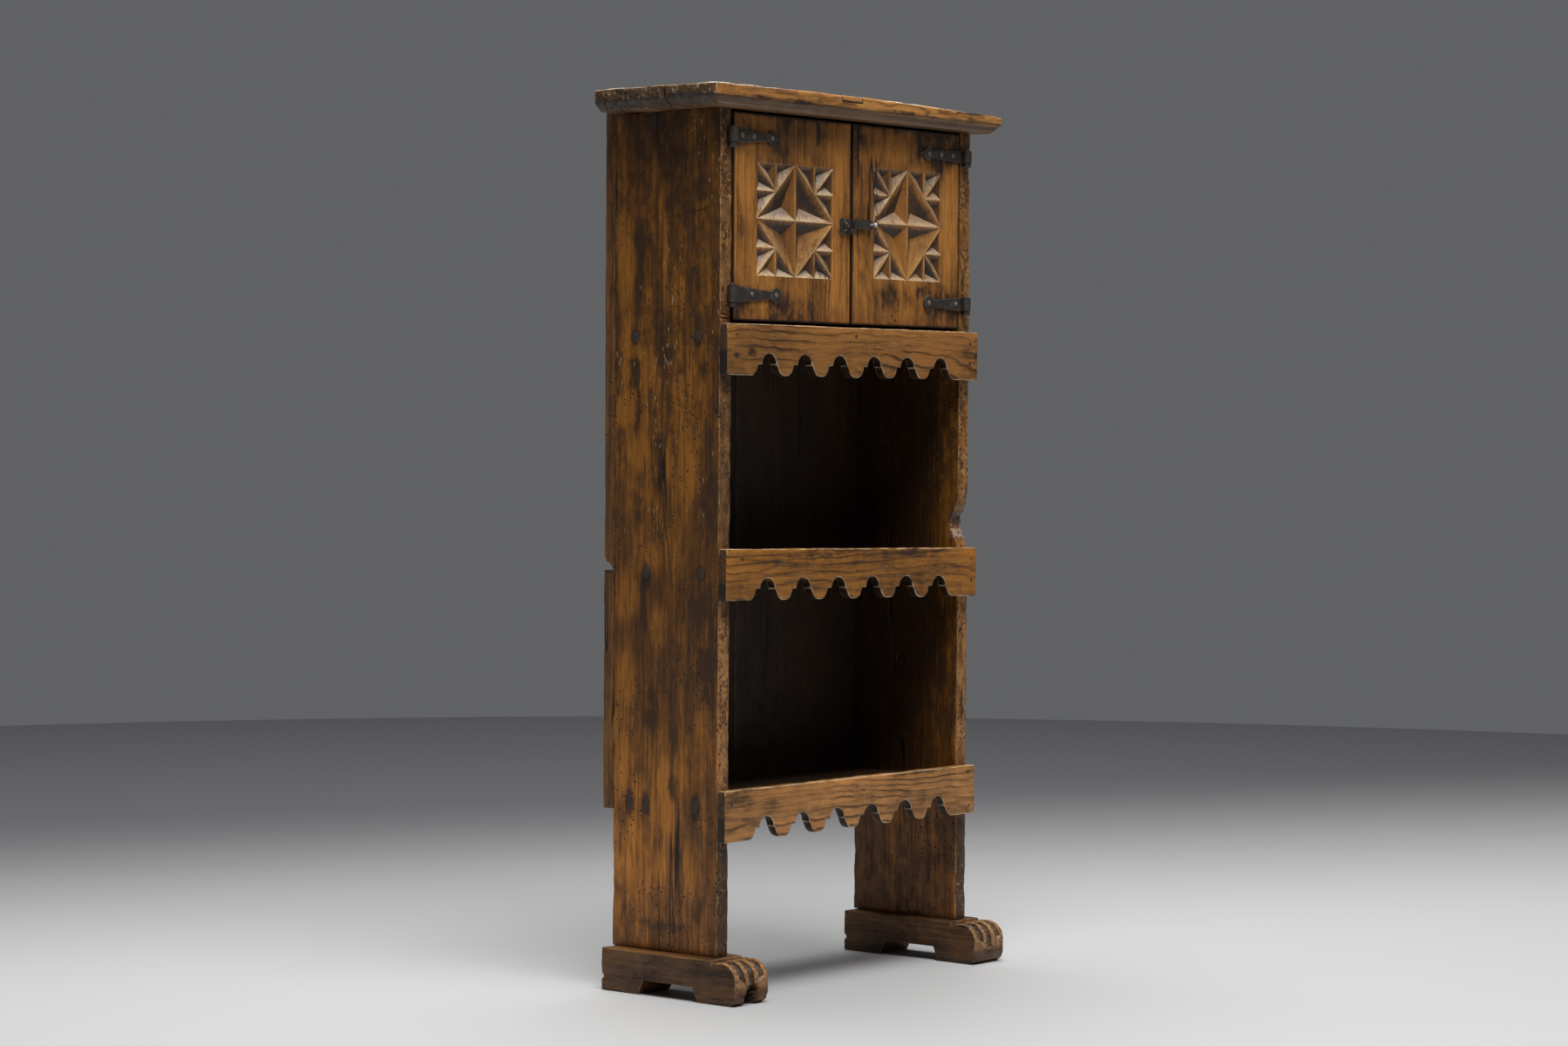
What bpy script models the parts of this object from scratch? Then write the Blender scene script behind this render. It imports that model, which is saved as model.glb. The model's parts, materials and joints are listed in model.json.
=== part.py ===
"""Rustic standing hutch cabinet of thick old planks.

Two side planks stand on carved sled feet and carry a two-board top, three housed and pegged shelves with
scalloped aprons, plank backs, and a small cupboard with two chip-carved doors on wrought strap hinges.

Units are metres, +Z is up. In the cabinet's own frame x = 0 is the middle between the sides, y = 0 the
front plane of the side planks (the back lies at +Y) and z = 0 the floor. The parent empty moves that
frame so that the world origin is the middle of the whole cabinet's footprint.
"""
import math
from collections import namedtuple

import bmesh
import bpy
from mathutils import Matrix, Vector

# Carcass
CABINET_HEIGHT = 1.420
OUTER_WIDTH = 0.637
SIDE_DEPTH = 0.220
SIDE_THICKNESS = 0.027
BACK_THICKNESS = 0.0215
SHELF_THICKNESS = 0.024
HOUSING_DEPTH = 0.008
CLEARANCE = 0.0003

# Top boards
TOP_THICKNESS = 0.034
TOP_OVERHANG_FRONT = 0.036
TOP_OVERHANG_LEFT = 0.0525
TOP_OVERHANG_RIGHT = 0.0415
TOP_FRONT_BOARD_WIDTH = 0.107
TOP_CHAMFER_HEIGHT = 0.014
TOP_CHAMFER_FRONT = 0.010
TOP_CHAMFER_END = 0.018
TOP_WEAR = 0.006
TOP_WEAR_LENGTH = 0.290
PATCH_LENGTH = 0.050
PATCH_HEIGHT = 0.009
PATCH_DEPTH = 0.012
PATCH_MIDDLE = -0.040

# Shelves, by the height of their upper faces, and the wooden pegs through the sides
CUPBOARD_FLOOR_TOP = 1.0455
MIDDLE_SHELF_TOP = 0.6755
BOTTOM_SHELF_TOP = 0.311
PEG_RADIUS = 0.0078
PEG_LENGTH = 0.050
FLOOR_PEG_FRONT = 0.045
FLOOR_PEG_BACK = 0.176
MIDDLE_PEG_FRONT = 0.0365
MIDDLE_PEG_BACK = 0.152
BOTTOM_PEG_FRONT = 0.046
BOTTOM_PEG_BACK = 0.1835
OLD_PEG_DEPTH = 0.1495

# Back boards
BACK_BOTTOM = 0.2845
BACK_TIER_JOINT = 0.665
BACK_TOP_DROP = 0.016
BACK_PLANK_JOINT = -0.022
BACK_PLANK_GAP = 0.0006

# Sled feet
FOOT_WIDTH = 0.078
FOOT_HEIGHT = 0.068
FOOT_PROJECTION = 0.062
NOSE_RADIUS = 0.030
NOSE_DROP = 0.0015
TOE_LENGTH = 0.012
COLLAR_GROOVE_SETBACK = 0.012
COLLAR_GROOVE_WIDTH = 0.006
COLLAR_GROOVE_DEPTH = 0.004
ARCH_FRONT = 0.018
ARCH_BACK = 0.142
ARCH_HEIGHT = 0.023
ARCH_SLOPE = 0.011
HEEL_NICK_HEIGHT = 0.022
HEEL_NICK_SIZE = 0.004
FLUTE_COUNT = 3
FLUTE_WIDTH = 0.0145
FLUTE_PITCH = 0.0225
FLUTE_DEPTH = 0.004
FLUTE_STOP = 0.036
MIDDLE_FLUTE_STOP = 0.026
TENON_THICKNESS = 0.014
TENON_LENGTH = 0.150
TENON_DEPTH = 0.028

# Aprons; a rise is how far an apron's top stands above its shelf
APRON_THICKNESS = 0.017
APRON_HEIGHT = 0.0815
APRON_END_OVERHANG = 0.0017
UPPER_APRON_RISE = 0.0081
MIDDLE_APRON_RISE = 0.0232
LOWER_APRON_RISE = 0.0178
MIDDLE_APRON_TILT = math.radians(1.0)
APRON_PLAIN_END = 0.0575
NOTCH_COUNT = 6
NOTCH_ARCH_WIDTH = 0.034
NOTCH_ARCH_HEIGHT = 0.017
NOTCH_STEP = 0.010
LOBE_DROP = 0.018
LOBE_SHOULDER = 0.008
LOBE_LEAN = 0.0025
LOBE_ROUND_LEFT = 0.0105
LOBE_ROUND_RIGHT = 0.0158

# Doors, their carving and the stop behind them
DOOR_THICKNESS = 0.020
DOOR_SIDE_GAP = 0.004
DOOR_MEETING_GAP = 0.005
DOOR_MEETING_SHIFT = 0.003
DOOR_BOTTOM_GAP = 0.0045
DOOR_TOP_GAP = 0.004
CARVING_WIDTH = 0.183
CARVING_HEIGHT = 0.178
CARVING_SHIFT = 0.004
LARGE_CHIP_DEPTH = 0.009
SMALL_CHIP_DEPTH = 0.006
RIDGE_WIDTH = 0.0016
STOP_WIDTH = 0.016
STOP_HEIGHT = 0.015
STOP_END_GAP = 0.030

# Strap hinges on pintles
HINGE_STANDOFF = 0.008
HINGE_SIDE_OFFSET = 0.007
UPPER_HINGE_INSET = 0.037
LOWER_HINGE_INSET = 0.041
STRAP_THICKNESS = 0.003
PIN_PLAY = 0.0005
PIN_RISE = 0.002
COLLAR_RADIUS = 0.0065
COLLAR_HEIGHT = 0.007
SPIKE_SIZE = 0.0062
SPIKE_LENGTH = 0.042

# Wrought straps, each sized by itself: height of its eye and of its neck, reach of the disc at its end, the
# disc's radius, length of the spear tip past the disc's middle, and reach of the nails before the disc's own
LEFT_UPPER_EYE = 0.024
LEFT_UPPER_NECK = 0.0115
LEFT_UPPER_DISC_REACH = 0.099
LEFT_UPPER_DISC_RADIUS = 0.011
LEFT_UPPER_TIP = 0.024
LEFT_UPPER_NAIL = 0.027
LEFT_UPPER_MIDDLE_NAIL = 0.055
LEFT_LOWER_EYE = 0.027
LEFT_LOWER_NECK = 0.0125
LEFT_LOWER_DISC_REACH = 0.111
LEFT_LOWER_DISC_RADIUS = 0.012
LEFT_LOWER_NAIL = 0.052
RIGHT_UPPER_EYE = 0.020
RIGHT_UPPER_NECK = 0.014
RIGHT_UPPER_DISC_REACH = 0.097
RIGHT_UPPER_DISC_RADIUS = 0.011
RIGHT_UPPER_TIP = 0.025
RIGHT_UPPER_NAIL = 0.033
RIGHT_UPPER_MIDDLE_NAIL = 0.064
RIGHT_LOWER_EYE = 0.022
RIGHT_LOWER_NECK = 0.011
RIGHT_LOWER_DISC_REACH = 0.095
RIGHT_LOWER_DISC_RADIUS = 0.0128
RIGHT_LOWER_NAIL = 0.022

# Rose-headed nails; the shank's radius is to its corners
NAIL_HEAD_RADIUS = 0.0046
NAIL_HEAD_HEIGHT = 0.0024
NAIL_SHOULDER_RADIUS = 0.0028
NAIL_SHOULDER_HEIGHT = 0.0018
NAIL_SHANK_RADIUS = 0.0022
NAIL_LENGTH = 0.015
NAIL_TIP = 0.008

# Latch
LATCH_PIN_SETBACK = 0.0405
LATCH_PIN_RADIUS = 0.0024
LATCH_PIN_REACH = 0.018
LATCH_PIN_DEPTH = 0.013
LATCH_PIN_HEAD_RADIUS = 0.0034
LATCH_FLANGE_RADIUS = 0.0052
LATCH_FLANGE_HEIGHT = 0.0024
HOOK_HEIGHT = 0.015
HOOK_THICKNESS = 0.0035
HOOK_END_GAP = 0.001
HOOK_CORNER = 0.0025
LATCH_DROP = math.radians(6.0)
LATCH_PLAY = 0.0006
KEEPER_WIDTH = 0.0255
KEEPER_EDGE_GAP = 0.002
KEEPER_RISE = 0.008
KEEPER_METAL = 0.0026
KEEPER_ARM_ROOT = 0.008
KEEPER_ARM_GAP = 0.0015

# Facets of round forms, and how far a cutter reaches past the face that it enters
ROUND_STEPS = 16
SMALL_STEPS = 8
CURVE_STEPS = 5
CUT_LIFT = 0.001

# Values worked out from the sizes above
HALF_WIDTH = OUTER_WIDTH / 2
INNER_HALF = HALF_WIDTH - SIDE_THICKNESS
SIDE_MIDDLE = HALF_WIDTH - SIDE_THICKNESS / 2
TOP_UNDERSIDE = CABINET_HEIGHT - TOP_THICKNESS
TOP_LEFT = -HALF_WIDTH - TOP_OVERHANG_LEFT
TOP_RIGHT = HALF_WIDTH + TOP_OVERHANG_RIGHT
TOP_JOINT = TOP_FRONT_BOARD_WIDTH - TOP_OVERHANG_FRONT
BACK_FRONT = SIDE_DEPTH + CLEARANCE
BACK_REAR = BACK_FRONT + BACK_THICKNESS
SHELF_TOPS = {"cupboard_floor": CUPBOARD_FLOOR_TOP, "middle_shelf": MIDDLE_SHELF_TOP,
              "bottom_shelf": BOTTOM_SHELF_TOP}
PEG_DEPTHS = {"cupboard_floor": (FLOOR_PEG_FRONT, FLOOR_PEG_BACK),
              "middle_shelf": (MIDDLE_PEG_FRONT, MIDDLE_PEG_BACK),
              "bottom_shelf": (BOTTOM_PEG_FRONT, BOTTOM_PEG_BACK)}
DOOR_BOTTOM = CUPBOARD_FLOOR_TOP + UPPER_APRON_RISE + DOOR_BOTTOM_GAP
DOOR_TOP = TOP_UNDERSIDE - DOOR_TOP_GAP
DOOR_MIDDLE = (DOOR_BOTTOM + DOOR_TOP) / 2
LEFT_DOOR_EDGE = DOOR_MEETING_SHIFT - DOOR_MEETING_GAP / 2
RIGHT_DOOR_EDGE = DOOR_MEETING_SHIFT + DOOR_MEETING_GAP / 2
HINGE_X = INNER_HALF + HINGE_SIDE_OFFSET
EYE_RADIUS = HINGE_STANDOFF - CLEARANCE
EYE_BORE = EYE_RADIUS - STRAP_THICKNESS
PIN_RADIUS = EYE_BORE * math.cos(math.pi / ROUND_STEPS) - PIN_PLAY
LATCH_X = RIGHT_DOOR_EDGE + LATCH_PIN_SETBACK
HOOK_BACK = -LATCH_FLANGE_HEIGHT - CLEARANCE
HOOK_FRONT = HOOK_BACK - HOOK_THICKNESS
HOOK_REACH = LATCH_X - LEFT_DOOR_EDGE - HOOK_END_GAP

# The four straps: door side (-1 left, 1 right), end of the door, then the sizes above
Strap = namedtuple("Strap", "side level eye neck disc_reach disc_radius tip nails")
STRAPS = (
    Strap(-1, "upper", LEFT_UPPER_EYE, LEFT_UPPER_NECK, LEFT_UPPER_DISC_REACH, LEFT_UPPER_DISC_RADIUS,
          LEFT_UPPER_TIP, (LEFT_UPPER_NAIL, LEFT_UPPER_MIDDLE_NAIL)),
    Strap(-1, "lower", LEFT_LOWER_EYE, LEFT_LOWER_NECK, LEFT_LOWER_DISC_REACH, LEFT_LOWER_DISC_RADIUS,
          0.0, (LEFT_LOWER_NAIL,)),
    Strap(1, "upper", RIGHT_UPPER_EYE, RIGHT_UPPER_NECK, RIGHT_UPPER_DISC_REACH, RIGHT_UPPER_DISC_RADIUS,
          RIGHT_UPPER_TIP, (RIGHT_UPPER_NAIL, RIGHT_UPPER_MIDDLE_NAIL)),
    Strap(1, "lower", RIGHT_LOWER_EYE, RIGHT_LOWER_NECK, RIGHT_LOWER_DISC_REACH, RIGHT_LOWER_DISC_RADIUS,
          0.0, (RIGHT_LOWER_NAIL,)),
)

# Turns that point a piece's local +Z to the front, to the left or to the right
TO_FRONT = Matrix.Rotation(math.pi / 2, 4, "X")
TO_LEFT = Matrix.Rotation(-math.pi / 2, 4, "Y")
TO_RIGHT = Matrix.Rotation(math.pi / 2, 4, "Y")


def finish(name, color, roughness, metallic=0.0):
    """A plain Principled material."""
    material = bpy.data.materials.new(name)
    material.use_nodes = True
    shader = material.node_tree.nodes["Principled BSDF"]
    shader.inputs["Base Color"].default_value = (*color, 1.0)
    shader.inputs["Roughness"].default_value = roughness
    shader.inputs["Metallic"].default_value = metallic
    return material


def empty(name, location, parent=None):
    """A frame that pieces hang on."""
    holder = bpy.data.objects.new(name, None)
    holder.location = location
    holder.parent = parent
    bpy.context.scene.collection.objects.link(holder)
    return holder


def make_mesh(name, bm, material):
    """Turns a bmesh into a mesh with its faces pointing out."""
    bmesh.ops.recalc_face_normals(bm, faces=bm.faces)
    mesh = bpy.data.meshes.new(name)
    bm.to_mesh(mesh)
    bm.free()
    mesh.materials.append(material)
    return mesh


def put(name, mesh, holder, place=Matrix()):
    """Puts a mesh at a place in the cabinet's frame, carried by a holder."""
    piece = bpy.data.objects.new(name, mesh)
    bpy.context.scene.collection.objects.link(piece)
    piece.parent = holder
    if holder.parent:
        piece.matrix_parent_inverse = Matrix.Translation(holder.location).inverted()
    piece.matrix_basis = place
    return piece


def add(name, bm, material, holder, place=Matrix()):
    """Makes a piece with a mesh of its own."""
    return put(name, make_mesh(name, bm, material), holder, place)


def smooth(piece):
    """Smooth shading on a round piece, with its real edges kept sharp."""
    piece.data.shade_smooth()
    piece.data.set_sharp_from_angle(angle=math.radians(35))


def combine(piece, bm, operation):
    """Cuts a bmesh out of a piece, or joins it on, with a hidden operand that stays editable."""
    number = len(piece.modifiers)
    operand = add(f"{piece.name}_{operation.lower()}_{number}", bm, piece.data.materials[0], CABINET)
    operand.hide_render = True
    operand.display_type = "WIRE"
    modifier = piece.modifiers.new(operand.name, "BOOLEAN")
    modifier.object = operand
    modifier.operation = operation
    modifier.solver = "EXACT"


def box(bm, low, high):
    """A block between two corners."""
    low, high = Vector(low), Vector(high)
    place = Matrix.Translation((low + high) / 2) @ Matrix.Diagonal((*(high - low), 1.0))
    return bmesh.ops.create_cube(bm, size=1.0, matrix=place)["verts"]


def extrude(bm, face, along):
    """Extrudes a face along a vector and gives back the moved corners."""
    extruded = bmesh.ops.extrude_face_region(bm, geom=[face, *face.edges])["geom"]
    moved = [item for item in extruded if isinstance(item, bmesh.types.BMVert)]
    bmesh.ops.translate(bm, verts=moved, vec=along)
    return moved


def prism(bm, outline, along):
    """An outline of points, extruded along a vector."""
    extrude(bm, bm.faces.new([bm.verts.new(point) for point in outline]), along)


def turned(bm, profile, steps, place=Matrix()):
    """A profile of (radius, height) points spun about the local Z axis."""
    before = set(bm.verts)
    start = Matrix.Rotation(math.pi / steps, 4, "Z")
    chain = [bm.verts.new(start @ Vector((radius, 0.0, height))) for radius, height in profile]
    edges = [bm.edges.new(pair) for pair in zip(chain, chain[1:])]
    bmesh.ops.spin(bm, geom=chain + edges, axis=(0, 0, 1), cent=(0, 0, 0), angle=2 * math.pi,
                   steps=steps, use_merge=True)
    spun = [vert for vert in bm.verts if vert not in before]
    bmesh.ops.remove_doubles(bm, verts=spun, dist=1e-6)
    spun = [vert for vert in bm.verts if vert not in before]
    bmesh.ops.transform(bm, matrix=place, verts=spun)


def arc(middle, radius, start, end, steps=SMALL_STEPS):
    """Points on a circular arc, angles in radians."""
    angles = [start + (end - start) * step / steps for step in range(steps + 1)]
    return [(middle[0] + radius * math.cos(a), middle[1] + radius * math.sin(a)) for a in angles]


def bezier(points, steps=CURVE_STEPS):
    """Points along a Bezier curve of any degree."""
    degree = len(points) - 1
    curve = []
    for step in range(steps + 1):
        t = step / steps
        weights = [math.comb(degree, k) * t ** k * (1 - t) ** (degree - k) for k in range(degree + 1)]
        curve.append(tuple(sum(w * p[axis] for w, p in zip(weights, points)) for axis in (0, 1)))
    return curve


def top_height(x):
    """Height of the top's upper face, which is worn lower towards the right end."""
    worn = max(0.0, x - (TOP_RIGHT - TOP_WEAR_LENGTH))
    return CABINET_HEIGHT - TOP_WEAR * worn / TOP_WEAR_LENGTH


def top_board(name, front, back, front_chamfer):
    """One of the two top boards, under-chamfered along its outer edges and worn at the right end."""
    bm = bmesh.new()
    edge_bottom = TOP_UNDERSIDE + TOP_CHAMFER_HEIGHT
    box(bm, (TOP_LEFT, front, edge_bottom), (TOP_RIGHT, back, CABINET_HEIGHT))
    lowest = min(bm.faces, key=lambda face: face.calc_center_median().z)
    for vert in extrude(bm, lowest, (0, 0, -TOP_CHAMFER_HEIGHT)):
        vert.co.x += TOP_CHAMFER_END if vert.co.x < 0 else -TOP_CHAMFER_END
        if vert.co.y < (front + back) / 2:
            vert.co.y += front_chamfer
    everything = bm.verts[:] + bm.edges[:] + bm.faces[:]
    bmesh.ops.bisect_plane(bm, geom=everything, plane_co=(TOP_RIGHT - TOP_WEAR_LENGTH, 0, 0),
                           plane_no=(1, 0, 0))
    for vert in bm.verts:
        if vert.co.z > CABINET_HEIGHT - CUT_LIFT:
            vert.co.z = top_height(vert.co.x)
    return add(name, bm, TOP_WOOD, CABINET)


def patch_block(spare, lift):
    """The repair let into the top's front edge, or with some spare room the recess for it."""
    bm = bmesh.new()
    front = -TOP_OVERHANG_FRONT
    half = PATCH_LENGTH / 2 + spare
    box(bm, (PATCH_MIDDLE - half, front - lift, CABINET_HEIGHT - PATCH_HEIGHT - spare),
        (PATCH_MIDDLE + half, front + PATCH_DEPTH + spare, CABINET_HEIGHT + lift))
    return bm


def make_top():
    """The two top boards, the patch let into the front one and the batten under it that stops the doors."""
    front = top_board("top_front_board", -TOP_OVERHANG_FRONT, TOP_JOINT - CLEARANCE / 2, TOP_CHAMFER_FRONT)
    top_board("top_rear_board", TOP_JOINT + CLEARANCE / 2, SIDE_DEPTH, 0.0)
    combine(front, patch_block(CLEARANCE, CUT_LIFT), "DIFFERENCE")
    add("top_edge_patch", patch_block(0.0, 0.0), TOP_WOOD, CABINET)
    stop = bmesh.new()
    end = INNER_HALF - STOP_END_GAP
    back = DOOR_THICKNESS + CLEARANCE
    box(stop, (-end, back, TOP_UNDERSIDE - CLEARANCE - STOP_HEIGHT),
        (end, back + STOP_WIDTH, TOP_UNDERSIDE - CLEARANCE))
    add("door_stop", stop, SHELF_WOOD, CABINET)


def peg_places(side, shelf):
    """Where the pegs go through a side into a shelf's end, by name. The left side has an older one at the bottom."""
    turn = TO_LEFT if side < 0 else TO_RIGHT
    height = SHELF_TOPS[shelf] - SHELF_THICKNESS / 2
    depths = dict(zip(("front", "back"), PEG_DEPTHS[shelf]))
    if side < 0 and shelf == "bottom_shelf":
        depths["old"] = OLD_PEG_DEPTH
    return {name: Matrix.Translation((side * HALF_WIDTH, depth, height)) @ turn for name, depth in depths.items()}


def rod(bm, radius, top, bottom, place=Matrix()):
    """A plain round rod between two heights."""
    turned(bm, [(0, top), (radius, top), (radius, bottom), (0, bottom)], SMALL_STEPS, place)


def cut_peg_holes(piece, places):
    """Cuts the holes for a set of pegs."""
    holes = bmesh.new()
    for place in places:
        rod(holes, PEG_RADIUS + CLEARANCE, CUT_LIFT, -PEG_LENGTH - CLEARANCE, place)
    combine(piece, holes, "DIFFERENCE")


def make_side(name, side):
    """A side plank with a stub tenon below, shelf housings inside and holes for pegs and pintles."""
    bm = bmesh.new()
    edges = sorted((side * INNER_HALF, side * HALF_WIDTH))
    box(bm, (edges[0], 0, FOOT_HEIGHT + CLEARANCE), (edges[1], SIDE_DEPTH, TOP_UNDERSIDE - CLEARANCE))
    foot_end = min(bm.faces, key=lambda face: face.calc_center_median().z)
    cheek = (SIDE_THICKNESS - TENON_THICKNESS) / 2
    bmesh.ops.inset_individual(bm, faces=[foot_end], thickness=cheek, use_even_offset=True)
    for vert in foot_end.verts:
        shoulder = -TENON_LENGTH if vert.co.y < SIDE_DEPTH / 2 else TENON_LENGTH
        vert.co.y = (SIDE_DEPTH + shoulder) / 2
    extrude(bm, foot_end, (0, 0, -TENON_DEPTH))
    plank = add(name, bm, SIDE_WOOD, CABINET)

    housings = bmesh.new()
    reach = sorted((side * (INNER_HALF - CUT_LIFT), side * (INNER_HALF + HOUSING_DEPTH)))
    for top in SHELF_TOPS.values():
        box(housings, (reach[0], -CUT_LIFT, top - SHELF_THICKNESS - CLEARANCE),
            (reach[1], SIDE_DEPTH + CUT_LIFT, top + CLEARANCE))
    combine(plank, housings, "DIFFERENCE")
    cut_peg_holes(plank, [place for shelf in SHELF_TOPS for place in peg_places(side, shelf).values()])
    spikes = bmesh.new()
    half = SPIKE_SIZE / 2 + CLEARANCE
    for strap in STRAPS:
        if strap.side == side:
            height = collar_top(strap) - COLLAR_HEIGHT / 2
            box(spikes, (side * HINGE_X - half, -CUT_LIFT, height - half),
                (side * HINGE_X + half, SPIKE_LENGTH + CLEARANCE, height + half))
    combine(plank, spikes, "DIFFERENCE")


def foot_outline():
    """Side view of a sled foot as (depth, height) points: collar groove, carved nose, arch and heel nick."""
    front = -FOOT_PROJECTION
    groove = -COLLAR_GROOVE_SETBACK
    nose_top = FOOT_HEIGHT - NOSE_DROP
    nose = arc((front + NOSE_RADIUS, nose_top - NOSE_RADIUS), NOSE_RADIUS, math.pi / 2, math.pi)
    toe = bezier([nose[-1], (front, 0.0), (front + TOE_LENGTH, 0.0)])
    arch = [(ARCH_FRONT, 0.0), (ARCH_FRONT + ARCH_SLOPE, ARCH_HEIGHT), (ARCH_BACK - ARCH_SLOPE, ARCH_HEIGHT),
            (ARCH_BACK, 0.0)]
    heel = [(SIDE_DEPTH, 0.0), (SIDE_DEPTH, HEEL_NICK_HEIGHT - HEEL_NICK_SIZE),
            (SIDE_DEPTH - HEEL_NICK_SIZE, HEEL_NICK_HEIGHT), (SIDE_DEPTH, HEEL_NICK_HEIGHT + HEEL_NICK_SIZE),
            (SIDE_DEPTH, FOOT_HEIGHT)]
    collar = [(groove + COLLAR_GROOVE_WIDTH / 2, FOOT_HEIGHT), (groove, FOOT_HEIGHT - COLLAR_GROOVE_DEPTH),
              (groove - COLLAR_GROOVE_WIDTH / 2, nose_top)]
    return collar + nose + toe[1:] + arch + heel


def flute_outline(stop):
    """Side view of the gouge that cuts one flute over the nose, down to a stop cut."""
    front = -FOOT_PROJECTION
    nose_top = FOOT_HEIGHT - NOSE_DROP
    start = -COLLAR_GROOVE_SETBACK - COLLAR_GROOVE_WIDTH
    middle = (front + NOSE_RADIUS, nose_top - NOSE_RADIUS)
    floor = arc(middle, NOSE_RADIUS - FLUTE_DEPTH, math.pi / 2, math.pi)
    clear = 2 * FLUTE_DEPTH
    outside = [(front - clear, stop), (front - clear, nose_top + clear), (start, nose_top + clear)]
    return [(start, nose_top)] + floor + [(front + FLUTE_DEPTH, stop)] + outside


def make_foot(name, side):
    """A sled foot, mortised for the side's tenon, with fluted carving over its nose."""
    outer = side * SIDE_MIDDLE - FOOT_WIDTH / 2
    bm = bmesh.new()
    prism(bm, [(outer, y, z) for y, z in foot_outline()], (FOOT_WIDTH, 0, 0))
    foot = add(name, bm, FOOT_WOOD, CABINET)
    mortise = bmesh.new()
    half = TENON_THICKNESS / 2 + CLEARANCE
    reach = TENON_LENGTH / 2 + CLEARANCE
    middle = SIDE_DEPTH / 2
    box(mortise, (side * SIDE_MIDDLE - half, middle - reach, FOOT_HEIGHT - TENON_DEPTH),
        (side * SIDE_MIDDLE + half, middle + reach, FOOT_HEIGHT + CUT_LIFT))
    combine(foot, mortise, "DIFFERENCE")
    flutes = bmesh.new()
    for number in range(FLUTE_COUNT):
        offset = number - (FLUTE_COUNT - 1) / 2
        left = side * SIDE_MIDDLE + offset * FLUTE_PITCH - FLUTE_WIDTH / 2
        stop = FLUTE_STOP if offset else MIDDLE_FLUTE_STOP
        prism(flutes, [(left, y, z) for y, z in flute_outline(stop)], (FLUTE_WIDTH, 0, 0))
    combine(foot, flutes, "DIFFERENCE")


def make_shelf(name):
    """A shelf whose ends sit in the sides' housings."""
    top = SHELF_TOPS[name]
    end = INNER_HALF + HOUSING_DEPTH - CLEARANCE
    bm = bmesh.new()
    box(bm, (-end, 0, top - SHELF_THICKNESS), (end, SIDE_DEPTH, top))
    shelf = add(name, bm, SHELF_WOOD, CABINET)
    cut_peg_holes(shelf, [*peg_places(-1, name).values(), *peg_places(1, name).values()])


def make_pegs():
    """Wooden pegs through each side into the end of every shelf."""
    bm = bmesh.new()
    rod(bm, PEG_RADIUS, 0.0, -PEG_LENGTH)
    mesh = make_mesh("shelf_peg", bm, PEG_WOOD)
    for side, word in ((-1, "left"), (1, "right")):
        for shelf in SHELF_TOPS:
            for end, place in peg_places(side, shelf).items():
                smooth(put(f"{shelf}_peg_{word}_{end}", mesh, CABINET, place))


def scallop_outline():
    """Front view of an apron as (x, z) points: a straight top and a row of arched notches, stepped on their left."""
    length = OUTER_WIDTH + 2 * APRON_END_OVERHANG
    pitch = (length - 2 * APRON_PLAIN_END) / NOTCH_COUNT
    bottom = -APRON_HEIGHT / 2
    ledge = bottom + LOBE_DROP
    arch = NOTCH_ARCH_WIDTH / 2
    shoulder = arch + NOTCH_STEP
    half = pitch / 2
    left = bezier([(-half, bottom), (-half + LOBE_ROUND_LEFT, bottom), (-shoulder - LOBE_LEAN, ledge - LOBE_SHOULDER),
                   (-shoulder, ledge)])
    right = bezier([(arch, ledge), (arch + LOBE_LEAN, ledge - LOBE_SHOULDER), (half - LOBE_ROUND_RIGHT, bottom),
                    (half, bottom)])
    crown = [(x, ledge + z * NOTCH_ARCH_HEIGHT / arch) for x, z in arc((0, 0), arch, math.pi, 0)]
    notch = left + crown + right[1:]
    row = []
    for number in range(NOTCH_COUNT):
        middle = (number - (NOTCH_COUNT - 1) / 2) * pitch
        shared = 1 if number else 0
        row += [(middle + x, z) for x, z in notch[shared:]]
    ends = [(length / 2, bottom), (length / 2, -bottom), (-length / 2, -bottom), (-length / 2, bottom)]
    return row + ends


def make_apron(name, shelf_top, rise, tilt=0.0):
    """A scalloped board across the sides' front edges, in front of its shelf."""
    bm = bmesh.new()
    prism(bm, [(x, 0, z) for x, z in scallop_outline()], (0, APRON_THICKNESS, 0))
    middle = Vector((0, -CLEARANCE - APRON_THICKNESS, shelf_top + rise - APRON_HEIGHT / 2))
    add(name, bm, APRON_WOOD, CABINET, Matrix.Translation(middle) @ Matrix.Rotation(tilt, 4, "Y"))


def make_back():
    """Four upright planks in two tiers behind the sides, the shelves and the top."""
    spans = {"upper": (BACK_TIER_JOINT + CLEARANCE, CABINET_HEIGHT - BACK_TOP_DROP),
             "lower": (BACK_BOTTOM, BACK_TIER_JOINT - CLEARANCE)}
    columns = {"left": (-HALF_WIDTH, BACK_PLANK_JOINT - BACK_PLANK_GAP / 2),
               "right": (BACK_PLANK_JOINT + BACK_PLANK_GAP / 2, HALF_WIDTH)}
    for tier, (low, high) in spans.items():
        for column, (left, right) in columns.items():
            bm = bmesh.new()
            box(bm, (left, BACK_FRONT, low), (right, BACK_REAR, high))
            add(f"back_board_{tier}_{column}", bm, BACK_WOOD, CABINET)


def strap_height(strap):
    """Height of a strap's middle line."""
    return DOOR_TOP - UPPER_HINGE_INSET if strap.level == "upper" else DOOR_BOTTOM + LOWER_HINGE_INSET


def collar_top(strap):
    """Height of the pintle's collar, just under the strap's eye."""
    return strap_height(strap) - strap.eye / 2 - CLEARANCE


def nail_places(strap):
    """Where a strap's nails go in, the one in the disc last."""
    depth = -2 * CLEARANCE - STRAP_THICKNESS
    return [Matrix.Translation((strap.side * (HINGE_X - reach), depth, strap_height(strap))) @ TO_FRONT
            for reach in (*strap.nails, strap.disc_reach)]


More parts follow.
